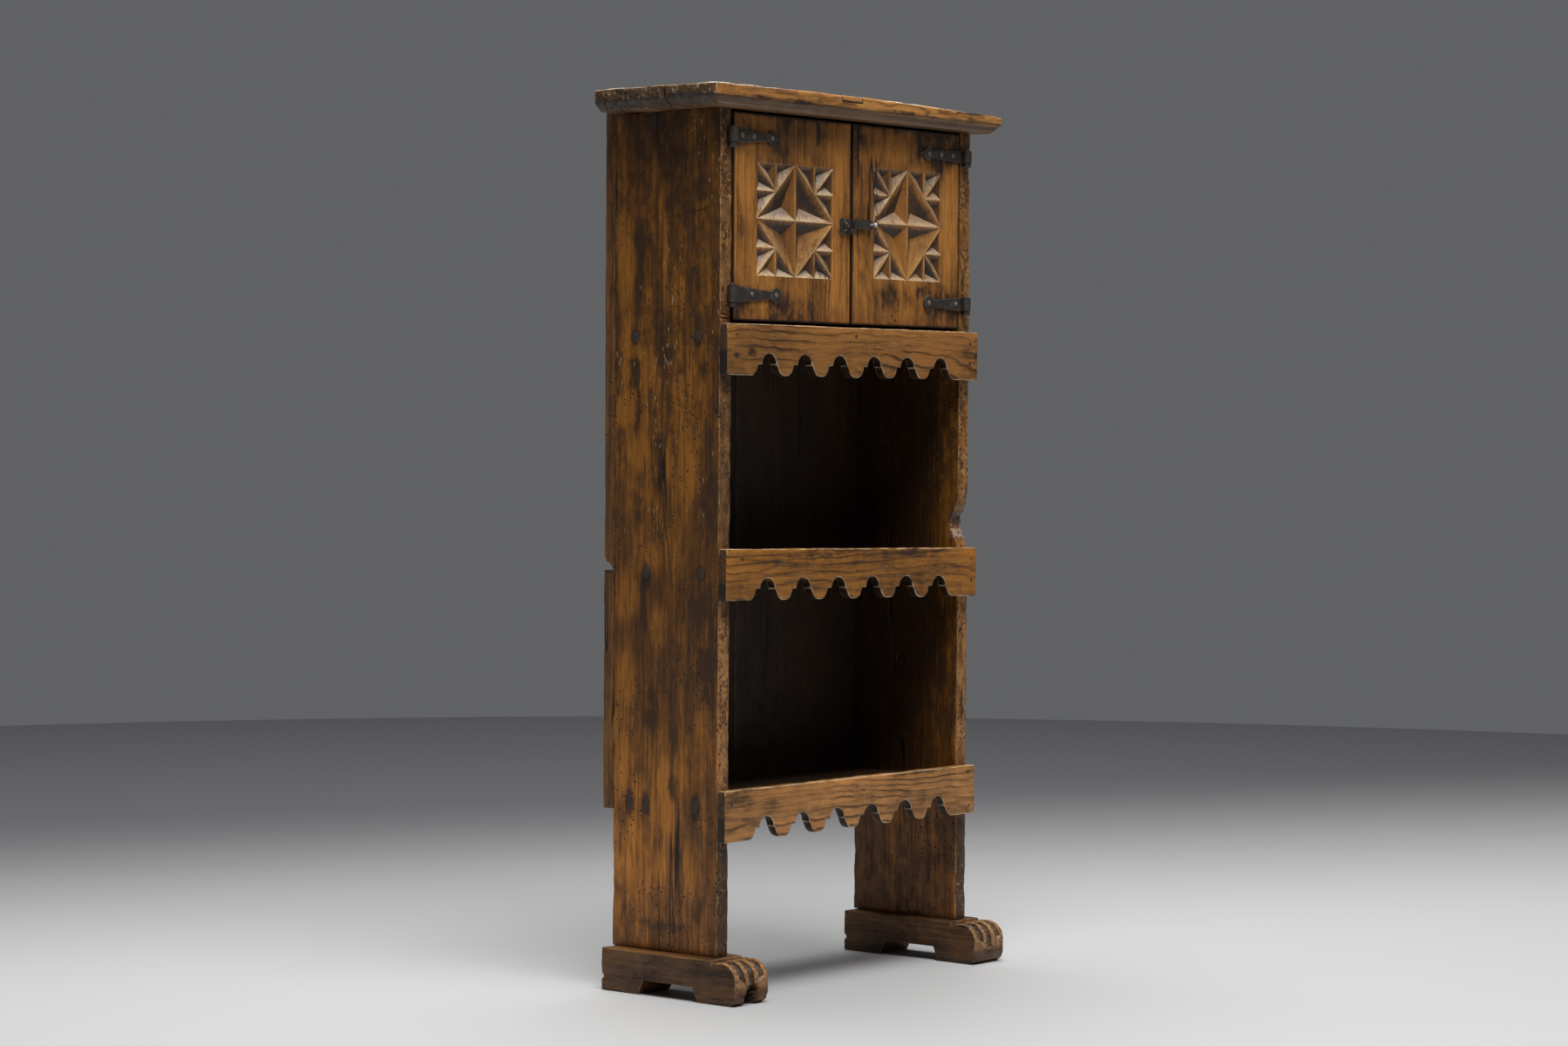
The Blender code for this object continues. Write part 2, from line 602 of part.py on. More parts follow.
def keeper_nail_place():
    """Where the keeper's nail goes in."""
    middle = LEFT_DOOR_EDGE - KEEPER_EDGE_GAP - KEEPER_WIDTH / 2
    return Matrix.Translation((middle, -2 * CLEARANCE - KEEPER_METAL, DOOR_MIDDLE)) @ TO_FRONT


def nail_mesh():
    """A forged nail with a domed rose head."""
    bm = bmesh.new()
    profile = [(0, NAIL_HEAD_HEIGHT), (NAIL_SHOULDER_RADIUS, NAIL_SHOULDER_HEIGHT), (NAIL_HEAD_RADIUS, 0),
               (NAIL_SHANK_RADIUS, 0), (NAIL_SHANK_RADIUS, NAIL_TIP - NAIL_LENGTH), (0, -NAIL_LENGTH)]
    turned(bm, profile, SMALL_STEPS)
    return make_mesh("rose_nail", bm, IRON)


def cut_nail_holes(piece, places):
    """Cuts the holes for the shanks of a set of nails."""
    shank = NAIL_SHANK_RADIUS + CLEARANCE
    holes = bmesh.new()
    for place in places:
        profile = [(0, 0), (shank, 0), (shank, NAIL_TIP - NAIL_LENGTH), (0, -NAIL_LENGTH - 2 * CLEARANCE)]
        turned(holes, profile, SMALL_STEPS, place)
    combine(piece, holes, "DIFFERENCE")


def strap_outline(strap):
    """Front view of a strap as (reach, rise) points: tapered leaf, end disc and, on some, a spear tip."""
    neck_angle = math.pi - math.asin(strap.neck / 2 / strap.disc_radius)
    tip_angle = math.acos(strap.disc_radius / strap.tip) if strap.tip else 0.0
    disc = arc((strap.disc_reach, 0.0), strap.disc_radius, neck_angle, tip_angle)
    end = [(strap.disc_reach + strap.tip, 0.0)] if strap.tip else [disc.pop()]
    upper = [(0.0, strap.eye / 2), (EYE_RADIUS, strap.eye / 2)] + disc
    return upper + end + [(reach, -rise) for reach, rise in reversed(upper)]


def make_hinge(strap, holder, nails):
    """A wrought strap with its rolled eye on the door, and the pintle in the side that it turns on."""
    word = "left" if strap.side < 0 else "right"
    height = strap_height(strap)
    half = strap.eye / 2
    axis = Matrix.Translation((strap.side * HINGE_X, -HINGE_STANDOFF, height))
    leaf = bmesh.new()
    outline = [(strap.side * (HINGE_X - reach), -CLEARANCE, height + rise)
               for reach, rise in strap_outline(strap)]
    prism(leaf, outline, (0, -STRAP_THICKNESS, 0))
    iron = add(f"{word}_{strap.level}_strap", leaf, IRON, holder)
    eye = bmesh.new()
    ring = [(EYE_BORE, half), (EYE_RADIUS, half), (EYE_RADIUS, -half), (EYE_BORE, -half), (EYE_BORE, half)]
    turned(eye, ring, ROUND_STEPS, axis)
    combine(iron, eye, "UNION")
    cut_nail_holes(iron, nail_places(strap))
    for number, place in enumerate(nail_places(strap), 1):
        put(f"{iron.name}_nail_{number}", nails, holder, place)

    collar = -half - CLEARANCE
    pin = bmesh.new()
    profile = [(0, half + PIN_RISE), (PIN_RADIUS, half + PIN_RISE), (PIN_RADIUS, collar), (COLLAR_RADIUS, collar),
               (COLLAR_RADIUS, collar - COLLAR_HEIGHT), (0, collar - COLLAR_HEIGHT)]
    turned(pin, profile, ROUND_STEPS, axis)
    pintle = add(f"{word}_{strap.level}_pintle", pin, IRON, CABINET)
    spike = bmesh.new()
    middle = height + collar - COLLAR_HEIGHT / 2
    across = strap.side * HINGE_X
    size = SPIKE_SIZE / 2
    corners = box(spike, (across - size, -HINGE_STANDOFF, middle - size),
                  (across + size, SPIKE_LENGTH, middle + size))
    for vert in corners:
        if vert.co.y > 0:
            vert.co.x = (vert.co.x + across) / 2
            vert.co.z = (vert.co.z + middle) / 2
    combine(pintle, spike, "UNION")
    smooth(pintle)


def carved_door(name, left, right, holder):
    """A single-board door with a chip-carved star panel: a large pocket in each quarter of a diamond
    and four small pockets in each corner, every pocket a sunk pyramid between thin ridges."""
    bm = bmesh.new()
    box(bm, (left, 0, DOOR_BOTTOM), (right, DOOR_THICKNESS, DOOR_TOP))
    front = min(bm.faces, key=lambda face: face.calc_center_median().y)
    corners = {(vert.co.x > (left + right) / 2, vert.co.z > DOOR_MIDDLE): vert for vert in front.verts}
    bmesh.ops.delete(bm, geom=[front], context="FACES_ONLY")
    middle = (left + right) / 2 + CARVING_SHIFT
    steps = (-1, -0.5, 0, 0.5, 1)
    points = {(u, v): bm.verts.new((middle + u * CARVING_WIDTH / 2, 0.0, DOOR_MIDDLE + v * CARVING_HEIGHT / 2))
              for u in steps for v in steps if max(abs(u), abs(v)) == 1 or abs(u) == abs(v)}
    large, small = [], []
    for u in (-1, 1):
        for v in (-1, 1):
            centre = points[0.5 * u, 0.5 * v]
            large.append(bm.faces.new([points[0, 0], points[0, v], centre, points[u, 0]]))
            rim = [points[spot] for spot in ((0, v), (0.5 * u, v), (u, v), (u, 0.5 * v), (u, 0))]
            small += [bm.faces.new([start, end, centre]) for start, end in zip(rim, rim[1:])]
    for far in (False, True):
        level = 1 if far else -1
        bm.faces.new([corners[False, far], corners[True, far]] + [points[-u, level] for u in steps])
        bm.faces.new([corners[far, False], corners[far, True]] + [points[level, -v] for v in steps])
    bmesh.ops.recalc_face_normals(bm, faces=bm.faces)
    for pockets, depth in ((large, LARGE_CHIP_DEPTH), (small, SMALL_CHIP_DEPTH)):
        bmesh.ops.inset_individual(bm, faces=pockets, thickness=RIDGE_WIDTH / 2, use_even_offset=True)
        bmesh.ops.poke(bm, faces=pockets, offset=-depth, center_mode="MEAN")
    return add(name, bm, DOOR_WOOD, holder)


def make_keeper(holder, nails):
    """The bent iron on the left door: a nailed plate, and an arm with a raised lip for the hook to drop behind."""
    half = HOOK_HEIGHT / 2
    dropped = HOOK_REACH * math.sin(LATCH_DROP) + half * math.cos(LATCH_DROP)
    ledge = DOOR_MIDDLE - dropped - LATCH_PLAY
    plate_end = LEFT_DOOR_EDGE - KEEPER_EDGE_GAP
    plate = bmesh.new()
    box(plate, (plate_end - KEEPER_WIDTH, -CLEARANCE - KEEPER_METAL, ledge - 2 * KEEPER_METAL),
        (plate_end, -CLEARANCE, DOOR_MIDDLE + KEEPER_RISE))
    keeper = add("latch_keeper", plate, IRON, holder)
    arm_start = plate_end - KEEPER_ARM_ROOT
    arm_end = RIGHT_DOOR_EDGE - KEEPER_ARM_GAP
    root = -CLEARANCE - KEEPER_METAL / 2
    lip_back = HOOK_FRONT - LATCH_PLAY
    lip_front = lip_back - KEEPER_METAL
    lip_top = DOOR_MIDDLE - half - LATCH_PLAY
    section = [(root, ledge - KEEPER_METAL), (root, ledge), (lip_back, ledge), (lip_back, lip_top),
               (lip_front, lip_top), (lip_front, ledge - KEEPER_METAL)]
    arm = bmesh.new()
    prism(arm, [(arm_start, y, z) for y, z in section], (arm_end - arm_start, 0, 0))
    combine(keeper, arm, "UNION")
    cut_nail_holes(keeper, [keeper_nail_place()])
    put("latch_keeper_nail", nails, holder, keeper_nail_place())


def make_hook(holder):
    """The headed pin in the right door and the hook bar that turns on it."""
    pivot = Matrix.Translation((LATCH_X, 0, DOOR_MIDDLE)) @ TO_FRONT
    neck = LATCH_PIN_REACH - LATCH_PIN_HEAD_RADIUS
    taper = LATCH_PIN_HEAD_RADIUS - LATCH_PIN_RADIUS
    profile = [(0, LATCH_PIN_REACH), (LATCH_PIN_RADIUS, LATCH_PIN_REACH),
               (LATCH_PIN_HEAD_RADIUS, LATCH_PIN_REACH - taper), (LATCH_PIN_HEAD_RADIUS, neck),
               (LATCH_PIN_RADIUS, neck - taper), (LATCH_PIN_RADIUS, LATCH_FLANGE_HEIGHT),
               (LATCH_FLANGE_RADIUS, LATCH_FLANGE_HEIGHT), (LATCH_FLANGE_RADIUS, CLEARANCE),
               (LATCH_PIN_RADIUS, CLEARANCE), (LATCH_PIN_RADIUS, -LATCH_PIN_DEPTH), (0, -LATCH_PIN_DEPTH)]
    pin = bmesh.new()
    turned(pin, profile, ROUND_STEPS, pivot)
    smooth(add("latch_pin", pin, IRON, holder))

    axis = empty("latch_axis", (LATCH_X, HOOK_BACK, DOOR_MIDDLE), CABINET)
    half = HOOK_HEIGHT / 2
    tip = [(HOOK_CORNER - HOOK_REACH, half), (-HOOK_REACH, half - HOOK_CORNER), (-HOOK_REACH, -half)]
    outline = arc((0, 0), half, -math.pi / 2, math.pi / 2) + tip
    hook = bmesh.new()
    prism(hook, [(LATCH_X + x, HOOK_BACK, DOOR_MIDDLE + z) for x, z in outline], (0, -HOOK_THICKNESS, 0))
    bar = add("latch_hook", hook, IRON, axis)
    play = (LATCH_PIN_RADIUS + PIN_PLAY) / math.cos(math.pi / ROUND_STEPS)
    bore = bmesh.new()
    turned(bore, [(0, LATCH_PIN_REACH), (play, LATCH_PIN_REACH), (play, 0), (0, 0)], ROUND_STEPS, pivot)
    combine(bar, bore, "DIFFERENCE")
    return pivot


def make_doors():
    """Both doors with their hinges and the latch between them."""
    nails = nail_mesh()
    hinged_edge = INNER_HALF - DOOR_SIDE_GAP
    left_axis = empty("left_door_axis", (-HINGE_X, -HINGE_STANDOFF, DOOR_BOTTOM), CABINET)
    right_axis = empty("right_door_axis", (HINGE_X, -HINGE_STANDOFF, DOOR_BOTTOM), CABINET)
    left = carved_door("left_door", -hinged_edge, LEFT_DOOR_EDGE, left_axis)
    right = carved_door("right_door", RIGHT_DOOR_EDGE, hinged_edge, right_axis)
    for strap in STRAPS:
        make_hinge(strap, left_axis if strap.side < 0 else right_axis, nails)
    make_keeper(left_axis, nails)
    pivot = make_hook(right_axis)
    places = {side: [place for strap in STRAPS if strap.side == side for place in nail_places(strap)]
              for side in (-1, 1)}
    cut_nail_holes(left, places[-1] + [keeper_nail_place()])
    cut_nail_holes(right, places[1])
    socket = bmesh.new()
    rod(socket, LATCH_PIN_RADIUS + 2 * CLEARANCE, CUT_LIFT, -LATCH_PIN_DEPTH - CLEARANCE, pivot)
    combine(right, socket, "DIFFERENCE")


for item in list(bpy.data.objects):
    bpy.data.objects.remove(item)

TOP_WOOD = finish("top_wood", (0.36, 0.19, 0.07), 0.55)
SIDE_WOOD = finish("side_wood", (0.24, 0.12, 0.045), 0.55)
SHELF_WOOD = finish("shelf_wood", (0.20, 0.10, 0.04), 0.65)
BACK_WOOD = finish("back_wood", (0.19, 0.10, 0.04), 0.70)
FOOT_WOOD = finish("foot_wood", (0.20, 0.10, 0.045), 0.50)
APRON_WOOD = finish("apron_wood", (0.34, 0.18, 0.06), 0.50)
DOOR_WOOD = finish("door_wood", (0.36, 0.19, 0.06), 0.50)
PEG_WOOD = finish("peg_wood", (0.06, 0.035, 0.02), 0.70)
IRON = finish("wrought_iron", (0.035, 0.033, 0.032), 0.50, 0.9)

FOOTPRINT_X = (TOP_OVERHANG_LEFT - TOP_OVERHANG_RIGHT) / 2
FOOTPRINT_Y = (FOOT_PROJECTION - BACK_REAR) / 2
CABINET = empty("cabinet", (FOOTPRINT_X, FOOTPRINT_Y, 0))
make_side("left_side", -1)
make_side("right_side", 1)
make_foot("left_foot", -1)
make_foot("right_foot", 1)
for shelf_name in SHELF_TOPS:
    make_shelf(shelf_name)
make_pegs()
make_apron("upper_apron", CUPBOARD_FLOOR_TOP, UPPER_APRON_RISE)
make_apron("middle_apron", MIDDLE_SHELF_TOP, MIDDLE_APRON_RISE, MIDDLE_APRON_TILT)
make_apron("lower_apron", BOTTOM_SHELF_TOP, LOWER_APRON_RISE)
make_back()
make_top()
make_doors()
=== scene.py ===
"""Looks of a rustic standing cabinet of thick old planks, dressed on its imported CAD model."""
import json
import math

import bmesh
import bpy
from mathutils import Matrix, Vector, noise


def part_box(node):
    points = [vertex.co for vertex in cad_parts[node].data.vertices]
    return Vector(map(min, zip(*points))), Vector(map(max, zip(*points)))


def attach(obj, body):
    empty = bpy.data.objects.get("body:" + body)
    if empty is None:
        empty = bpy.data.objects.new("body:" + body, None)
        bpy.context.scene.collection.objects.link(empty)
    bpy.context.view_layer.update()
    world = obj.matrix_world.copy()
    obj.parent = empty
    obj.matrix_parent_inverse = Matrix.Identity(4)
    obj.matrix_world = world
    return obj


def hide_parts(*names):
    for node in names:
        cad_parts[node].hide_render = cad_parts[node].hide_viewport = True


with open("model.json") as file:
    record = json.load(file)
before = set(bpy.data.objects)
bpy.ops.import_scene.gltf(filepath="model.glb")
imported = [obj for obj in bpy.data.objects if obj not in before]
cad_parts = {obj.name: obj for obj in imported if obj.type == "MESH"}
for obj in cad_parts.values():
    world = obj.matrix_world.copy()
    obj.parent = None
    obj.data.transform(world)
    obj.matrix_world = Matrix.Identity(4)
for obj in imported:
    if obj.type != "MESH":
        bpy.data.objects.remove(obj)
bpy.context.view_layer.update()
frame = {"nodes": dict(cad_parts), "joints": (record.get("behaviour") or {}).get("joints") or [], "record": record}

# Camera
# A long lens looks from the front left, a little above the middle shelf, as a furniture photographer stands.
camera_place = (-4.63257, -3.8487, 0.89135)
turn, dip, roll = [math.radians(angle) for angle in (-49.98, 1.47, 0.34)]
camera = bpy.data.objects.new("camera", bpy.data.cameras.new("camera"))
camera.data.sensor_width = 36.0
camera.data.lens = 84.99
camera.matrix_world = (Matrix.Translation(camera_place) @ Matrix.Rotation(turn, 4, "Z")
                       @ Matrix.Rotation(math.pi / 2 - dip, 4, "X") @ Matrix.Rotation(roll, 4, "Z"))
bpy.context.scene.collection.objects.link(camera)
bpy.context.scene.camera = camera
bpy.context.scene.view_settings.view_transform = "Standard"


# Room
# A seamless pale floor with a plain grey wall colour behind it, under two broad soft lights from above.
class Shade:
    """One socket of a material's nodes. Python's operators on it add Math nodes."""

    def __init__(self, tree, socket=None):
        self.tree = tree
        self.socket = socket

    def node(self, kind, settings=None, inputs=None, output=0):
        """Adds a node with its settings and its inputs' values or links, and gives one of its outputs."""
        made = self.tree.nodes.new("ShaderNode" + kind)
        for name, value in (settings or {}).items():
            setattr(made, name, value)
        for name, value in (inputs or {}).items():
            if isinstance(value, Shade):
                self.tree.links.new(value.socket, made.inputs[name])
            else:
                made.inputs[name].default_value = value
        return Shade(self.tree, made.outputs[output])

    def math(self, operation, *others):
        """A Math node with this value as its first input."""
        return self.node("Math", {"operation": operation}, dict(enumerate((self, *others))))

    def vector(self, operation, *others, output=0):
        """A Vector Math node with this vector as its first input."""
        return self.node("VectorMath", {"operation": operation}, dict(enumerate((self, *others))), output)

    def __add__(self, other):
        return self.math("ADD", other)

    def __sub__(self, other):
        return self.math("SUBTRACT", other)

    def __rsub__(self, other):
        return self * -1.0 + other

    def __mul__(self, other):
        return self.math("MULTIPLY", other)

    __radd__ = __add__
    __rmul__ = __mul__

    def at_most(self, limit):
        return self.math("MINIMUM", limit)

    def axis(self, number):
        """One coordinate of this vector."""
        return self.node("SeparateXYZ", {}, {0: self}, number)

    def less(self, place):
        """This vector measured from a place."""
        return self.vector("SUBTRACT", tuple(place))

    def scaled(self, *shares):
        """This vector with each coordinate times its share."""
        return self.vector("MULTIPLY", shares)

    def length(self):
        return self.vector("LENGTH", output=1)

    def between(self, low, high, peak=1.0):
        """A smooth step from 0 at the low value to a peak at the high one, either way round."""
        return self.node("MapRange", {"interpolation_type": "SMOOTHSTEP"},
                         {"Value": self, "From Min": low, "From Max": high, "To Max": peak})

    def near(self, wide, close):
        """A mask that is 1 where this value is close to nought, and fades out where it is wide of it."""
        return self.math("ABSOLUTE").between(wide, close)

    def mix(self, first, second, blend="MIX"):
        """The first colour where this mask is 0 and the second where it is 1."""
        colours = [value if isinstance(value, Shade) else (*value, 1.0) for value in (first, second)]
        return self.node("Mix", {"data_type": "RGBA", "blend_type": blend},
                         {0: self, 6: colours[0], 7: colours[1]}, 2)

    def coated(self, *coats):
        """This colour under coats of other colours, each with the mask of where it lies."""
        colour = self
        for mask, coat in coats:
            colour = mask.mix(colour, coat)
        return colour

    def noise(self, scale, detail=3.0, roughness=0.55, output=0):
        """Noise over this vector, about 0.5 on average."""
        return self.node("TexNoise", {}, {"Vector": self, "Scale": scale, "Detail": detail,
                                          "Roughness": roughness}, output)

    def specks(self, scale):
        """The distance to the nearest of some scattered points."""
        return self.node("TexVoronoi", {}, {"Vector": self, "Scale": scale})

    def arris_mark(self):
        """The mark that the rounded edges of a mesh carry."""
        return self.node("Attribute", {"attribute_name": "arris"}, {}, 2)

    def feed(self, shader, name):
        self.tree.links.new(self.socket, shader.inputs[name])

    def emboss(self, shader, strength, depth):
        """Makes this height the relief of the surface."""
        bump = self.node("Bump", {}, {"Strength": strength, "Distance": depth, "Height": self})
        bump.feed(shader, "Normal")


def new_material(name):
    """A material, its Principled shader, and the place on the piece as a vector in metres."""
    material = bpy.data.materials.new(name)
    material.use_nodes = True
    tree = material.node_tree
    return material, tree.nodes["Principled BSDF"], Shade(tree).node("TexCoord", output="Object")


floor_radius = 5.4
pale_floor, far_floor_shade = (0.475, 0.473, 0.471), (0.105, 0.1065, 0.111)
room = bmesh.new()
bmesh.ops.create_circle(room, cap_ends=True, segments=96, radius=floor_radius)
floor_mesh = bpy.data.meshes.new("floor")
room.to_mesh(floor_mesh)
room.free()
floor = bpy.data.objects.new("floor", floor_mesh)
bpy.context.scene.collection.objects.link(floor)
floor_finish, floor_shader, floor_place = new_material("floor_paint")
floor_shader.inputs["Roughness"].default_value = 0.6
# Painted shade: the floor's colour darkens from pale near the cabinet to dark towards the back, as the light falls
# off.
away = floor_place.vector("DOT_PRODUCT", (0.48, 0.99, 0.0), output=1) + floor_place.noise(3.0) * 0.1
away.between(0.1, 3.2).mix(pale_floor, far_floor_shade).feed(floor_shader, "Base Color")
floor_mesh.materials.append(floor_finish)

wall_light, wall_colour = (0.036, 0.036, 0.037), (0.119, 0.121, 0.125)
world = bpy.data.worlds.new("room")
bpy.context.scene.world = world
world.use_nodes = True
rays = Shade(world.node_tree)
straight, mirrored, through = [rays.node("LightPath", output=f"Is {kind} Ray")
                               for kind in ("Camera", "Glossy", "Transmission")]
seen = (straight + mirrored + through).at_most(1.0)
seen.mix(wall_light, wall_colour).feed(world.node_tree.nodes["Background"], "Color")
for lamp_name, watts, place, aim, width, depth in (
        ("overhead_softbox", 500.0, (-1.25, -2.1, 6.2), (0.0, -0.1, 0.7), 3.8, 3.0),
        ("ceiling_glow", 260.0, (0.8, 1.2, 6.0), (0.3, 0.4, 0.0), 3.0, 3.0)):
    lamp = bpy.data.lights.new(lamp_name, "AREA")
    lamp.energy = watts
    lamp.shape = "RECTANGLE"
    lamp.size = width
    lamp.size_y = depth
    holder = bpy.data.objects.new(lamp_name, lamp)
    holder.location = place
    holder.rotation_euler = (Vector(aim) - Vector(place)).to_track_quat("-Z", "Y").to_euler()
    bpy.context.scene.collection.objects.link(holder)


# Side planks
# Two upright softwood planks, hand sawn and planed, tenoned into the feet. Their front edges are rubbed,
# gnawed and splintered, and dark stain lies over the golden wood.
X, Y, Z = 0, 1, 2
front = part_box("left_side")[0].y
middle = (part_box("left_side")[0].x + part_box("right_side")[1].x) / 2


def here(x, y, z):
    """A place measured in millimetres from the middle, the front plane and the floor."""
    return Vector((middle + x / 1000, front + y / 1000, z / 1000))


def block(bm, low, high):
    """A plain block between two corners."""
    low, high = Vector(low), Vector(high)
    place = Matrix.Translation((low + high) / 2) @ Matrix.Diagonal((*(high - low), 1.0))
    return bmesh.ops.create_cube(bm, size=1.0, matrix=place)["verts"]


def stands_out(edge, angle):
    """Whether an edge is an outer one that turns by more than an angle."""
    return edge.is_manifold and edge.is_convex and edge.calc_face_angle() > angle


def soften(bm, width, tight=None):
    """Rounds every sharp outer edge except those of a tight joint in one upright plane, and marks the
    rounding so that the finish can be paler there, from handling and a painted sheen."""
    arris = bm.verts.layers.float.get("arris") or bm.verts.layers.float.new("arris")
    edges = [edge for edge in bm.edges if stands_out(edge, 0.5)
             and (tight is None or any(abs(vert.co.y - tight) > 0.001 for vert in edge.verts))]
    made = bmesh.ops.bevel(bm, geom=edges, offset=width, segments=2, profile=0.5, affect="EDGES",
                           clamp_overlap=True, material=-1)
    rounded = set(made["faces"])
    for vert in made["verts"]:
        if all(face in rounded for face in vert.link_faces):
            vert[arris] = 1.0


def saw_at(bm, axis, level):
    """Cuts all faces where they cross a plane."""
    normal = Vector((axis == X, axis == Y, axis == Z))
    bmesh.ops.bisect_plane(bm, geom=bm.verts[:] + bm.edges[:] + bm.faces[:], dist=1e-6,
                           plane_co=normal * level, plane_no=normal)


def saw_across(bm, *cuts):
    """Cuts the faces across axes at even steps, so that they can be worn unevenly. A cut is an axis, a step
    and, where it doesn't go all the way, the levels that it starts and ends at."""
    for axis, step, *span in cuts:
        places = [vert.co[axis] for vert in bm.verts]
        low, high = span or (min(places), max(places))
        count = max(1, round((high - low) / step))
        for number in range(1, count):
            saw_at(bm, axis, low + (high - low) * number / count)


def sawn_board(low, high, width, *cuts):
    """A block with rounded edges, whose faces are cut across."""
    bm = bmesh.new()
    block(bm, low, high)
    soften(bm, width)
    saw_across(bm, *cuts)
    return bm


def squeezed(grain, share):
    """Shares of the three axes that squeeze only the one along the grain."""
    return Vector([share if axis == grain else 1 for axis in (X, Y, Z)])


def weather(bm, grain, swell, rub, seed):
    """Makes faces swell along the grain and rubs the outer edges down by uneven amounts."""
    bm.normal_update()
    stretch = squeezed(grain, 0.3)
    shift = Vector((seed * 7.3, seed * 3.1, seed * 5.7))
    moves = []
    for vert in bm.verts:
        move = swell * noise.fractal((vert.co * stretch + shift) * 14, 1.0, 2.0, 3)
        if any(stands_out(edge, 0.2) for edge in vert.link_edges):
            ragged = vert.co + Vector((seed, 0, 0))
            move -= rub * max(0.0, 0.25 + noise.noise(ragged * 28) + 0.7 * noise.noise(ragged * 110))
        moves.append(vert.normal * move)
    for vert, move in zip(bm.verts, moves):
        vert.co += move


def gouge(bm, centre, reach, push, rough=0.5):
    """Breaks a ragged hollow into a face: points near the centre are pushed in."""
    for vert in bm.verts:
        away = vert.co - centre
        share = Vector([away[k] / reach[k] for k in (X, Y, Z)]).length + 0.35 * noise.noise(vert.co * 190)
        if share < 1:
            depth = min(1.0, 1.6 * (1 - share)) * (1 + rough * noise.noise(vert.co * 330))
            vert.co += Vector(push) * depth


def piece(name, bm, material, body, nodes=(), crease=38):
    """Makes a mesh a piece that rides on a body, in place of CAD nodes."""
    mesh = bpy.data.meshes.new(name)
    bm.to_mesh(mesh)
    bm.free()
    mesh.materials.append(material)
    mesh.shade_smooth()
    mesh.set_sharp_from_angle(angle=math.radians(crease))
    made = bpy.data.objects.new(name, mesh)
    bpy.context.scene.collection.objects.link(made)
    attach(made, body)
    if nodes:
        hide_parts(*nodes)
    return made


def stains(*rows):
    """Soft round stains, or rubbed spots where the strength is below nought. A row has the place and the
    reach along the three axes in millimetres, and the strength in hundredths."""
    return [(here(*row[:3]), [size / 1000 for size in row[3:6]], row[6] / 100) for row in rows]


def spot_mask(place, spots):
    """How far a place lies in any of some stains, each a centre, its reach and its strength."""
    total = None
    for centre, reach, strength in spots:
        shares = tuple(1 / size for size in reach)
        shift = tuple(-where / size for where, size in zip(centre, reach))
        stain = place.vector("MULTIPLY_ADD", shares, shift).length().between(1.0, 0.25, strength)
        total = stain if total is None else total + stain
    return total


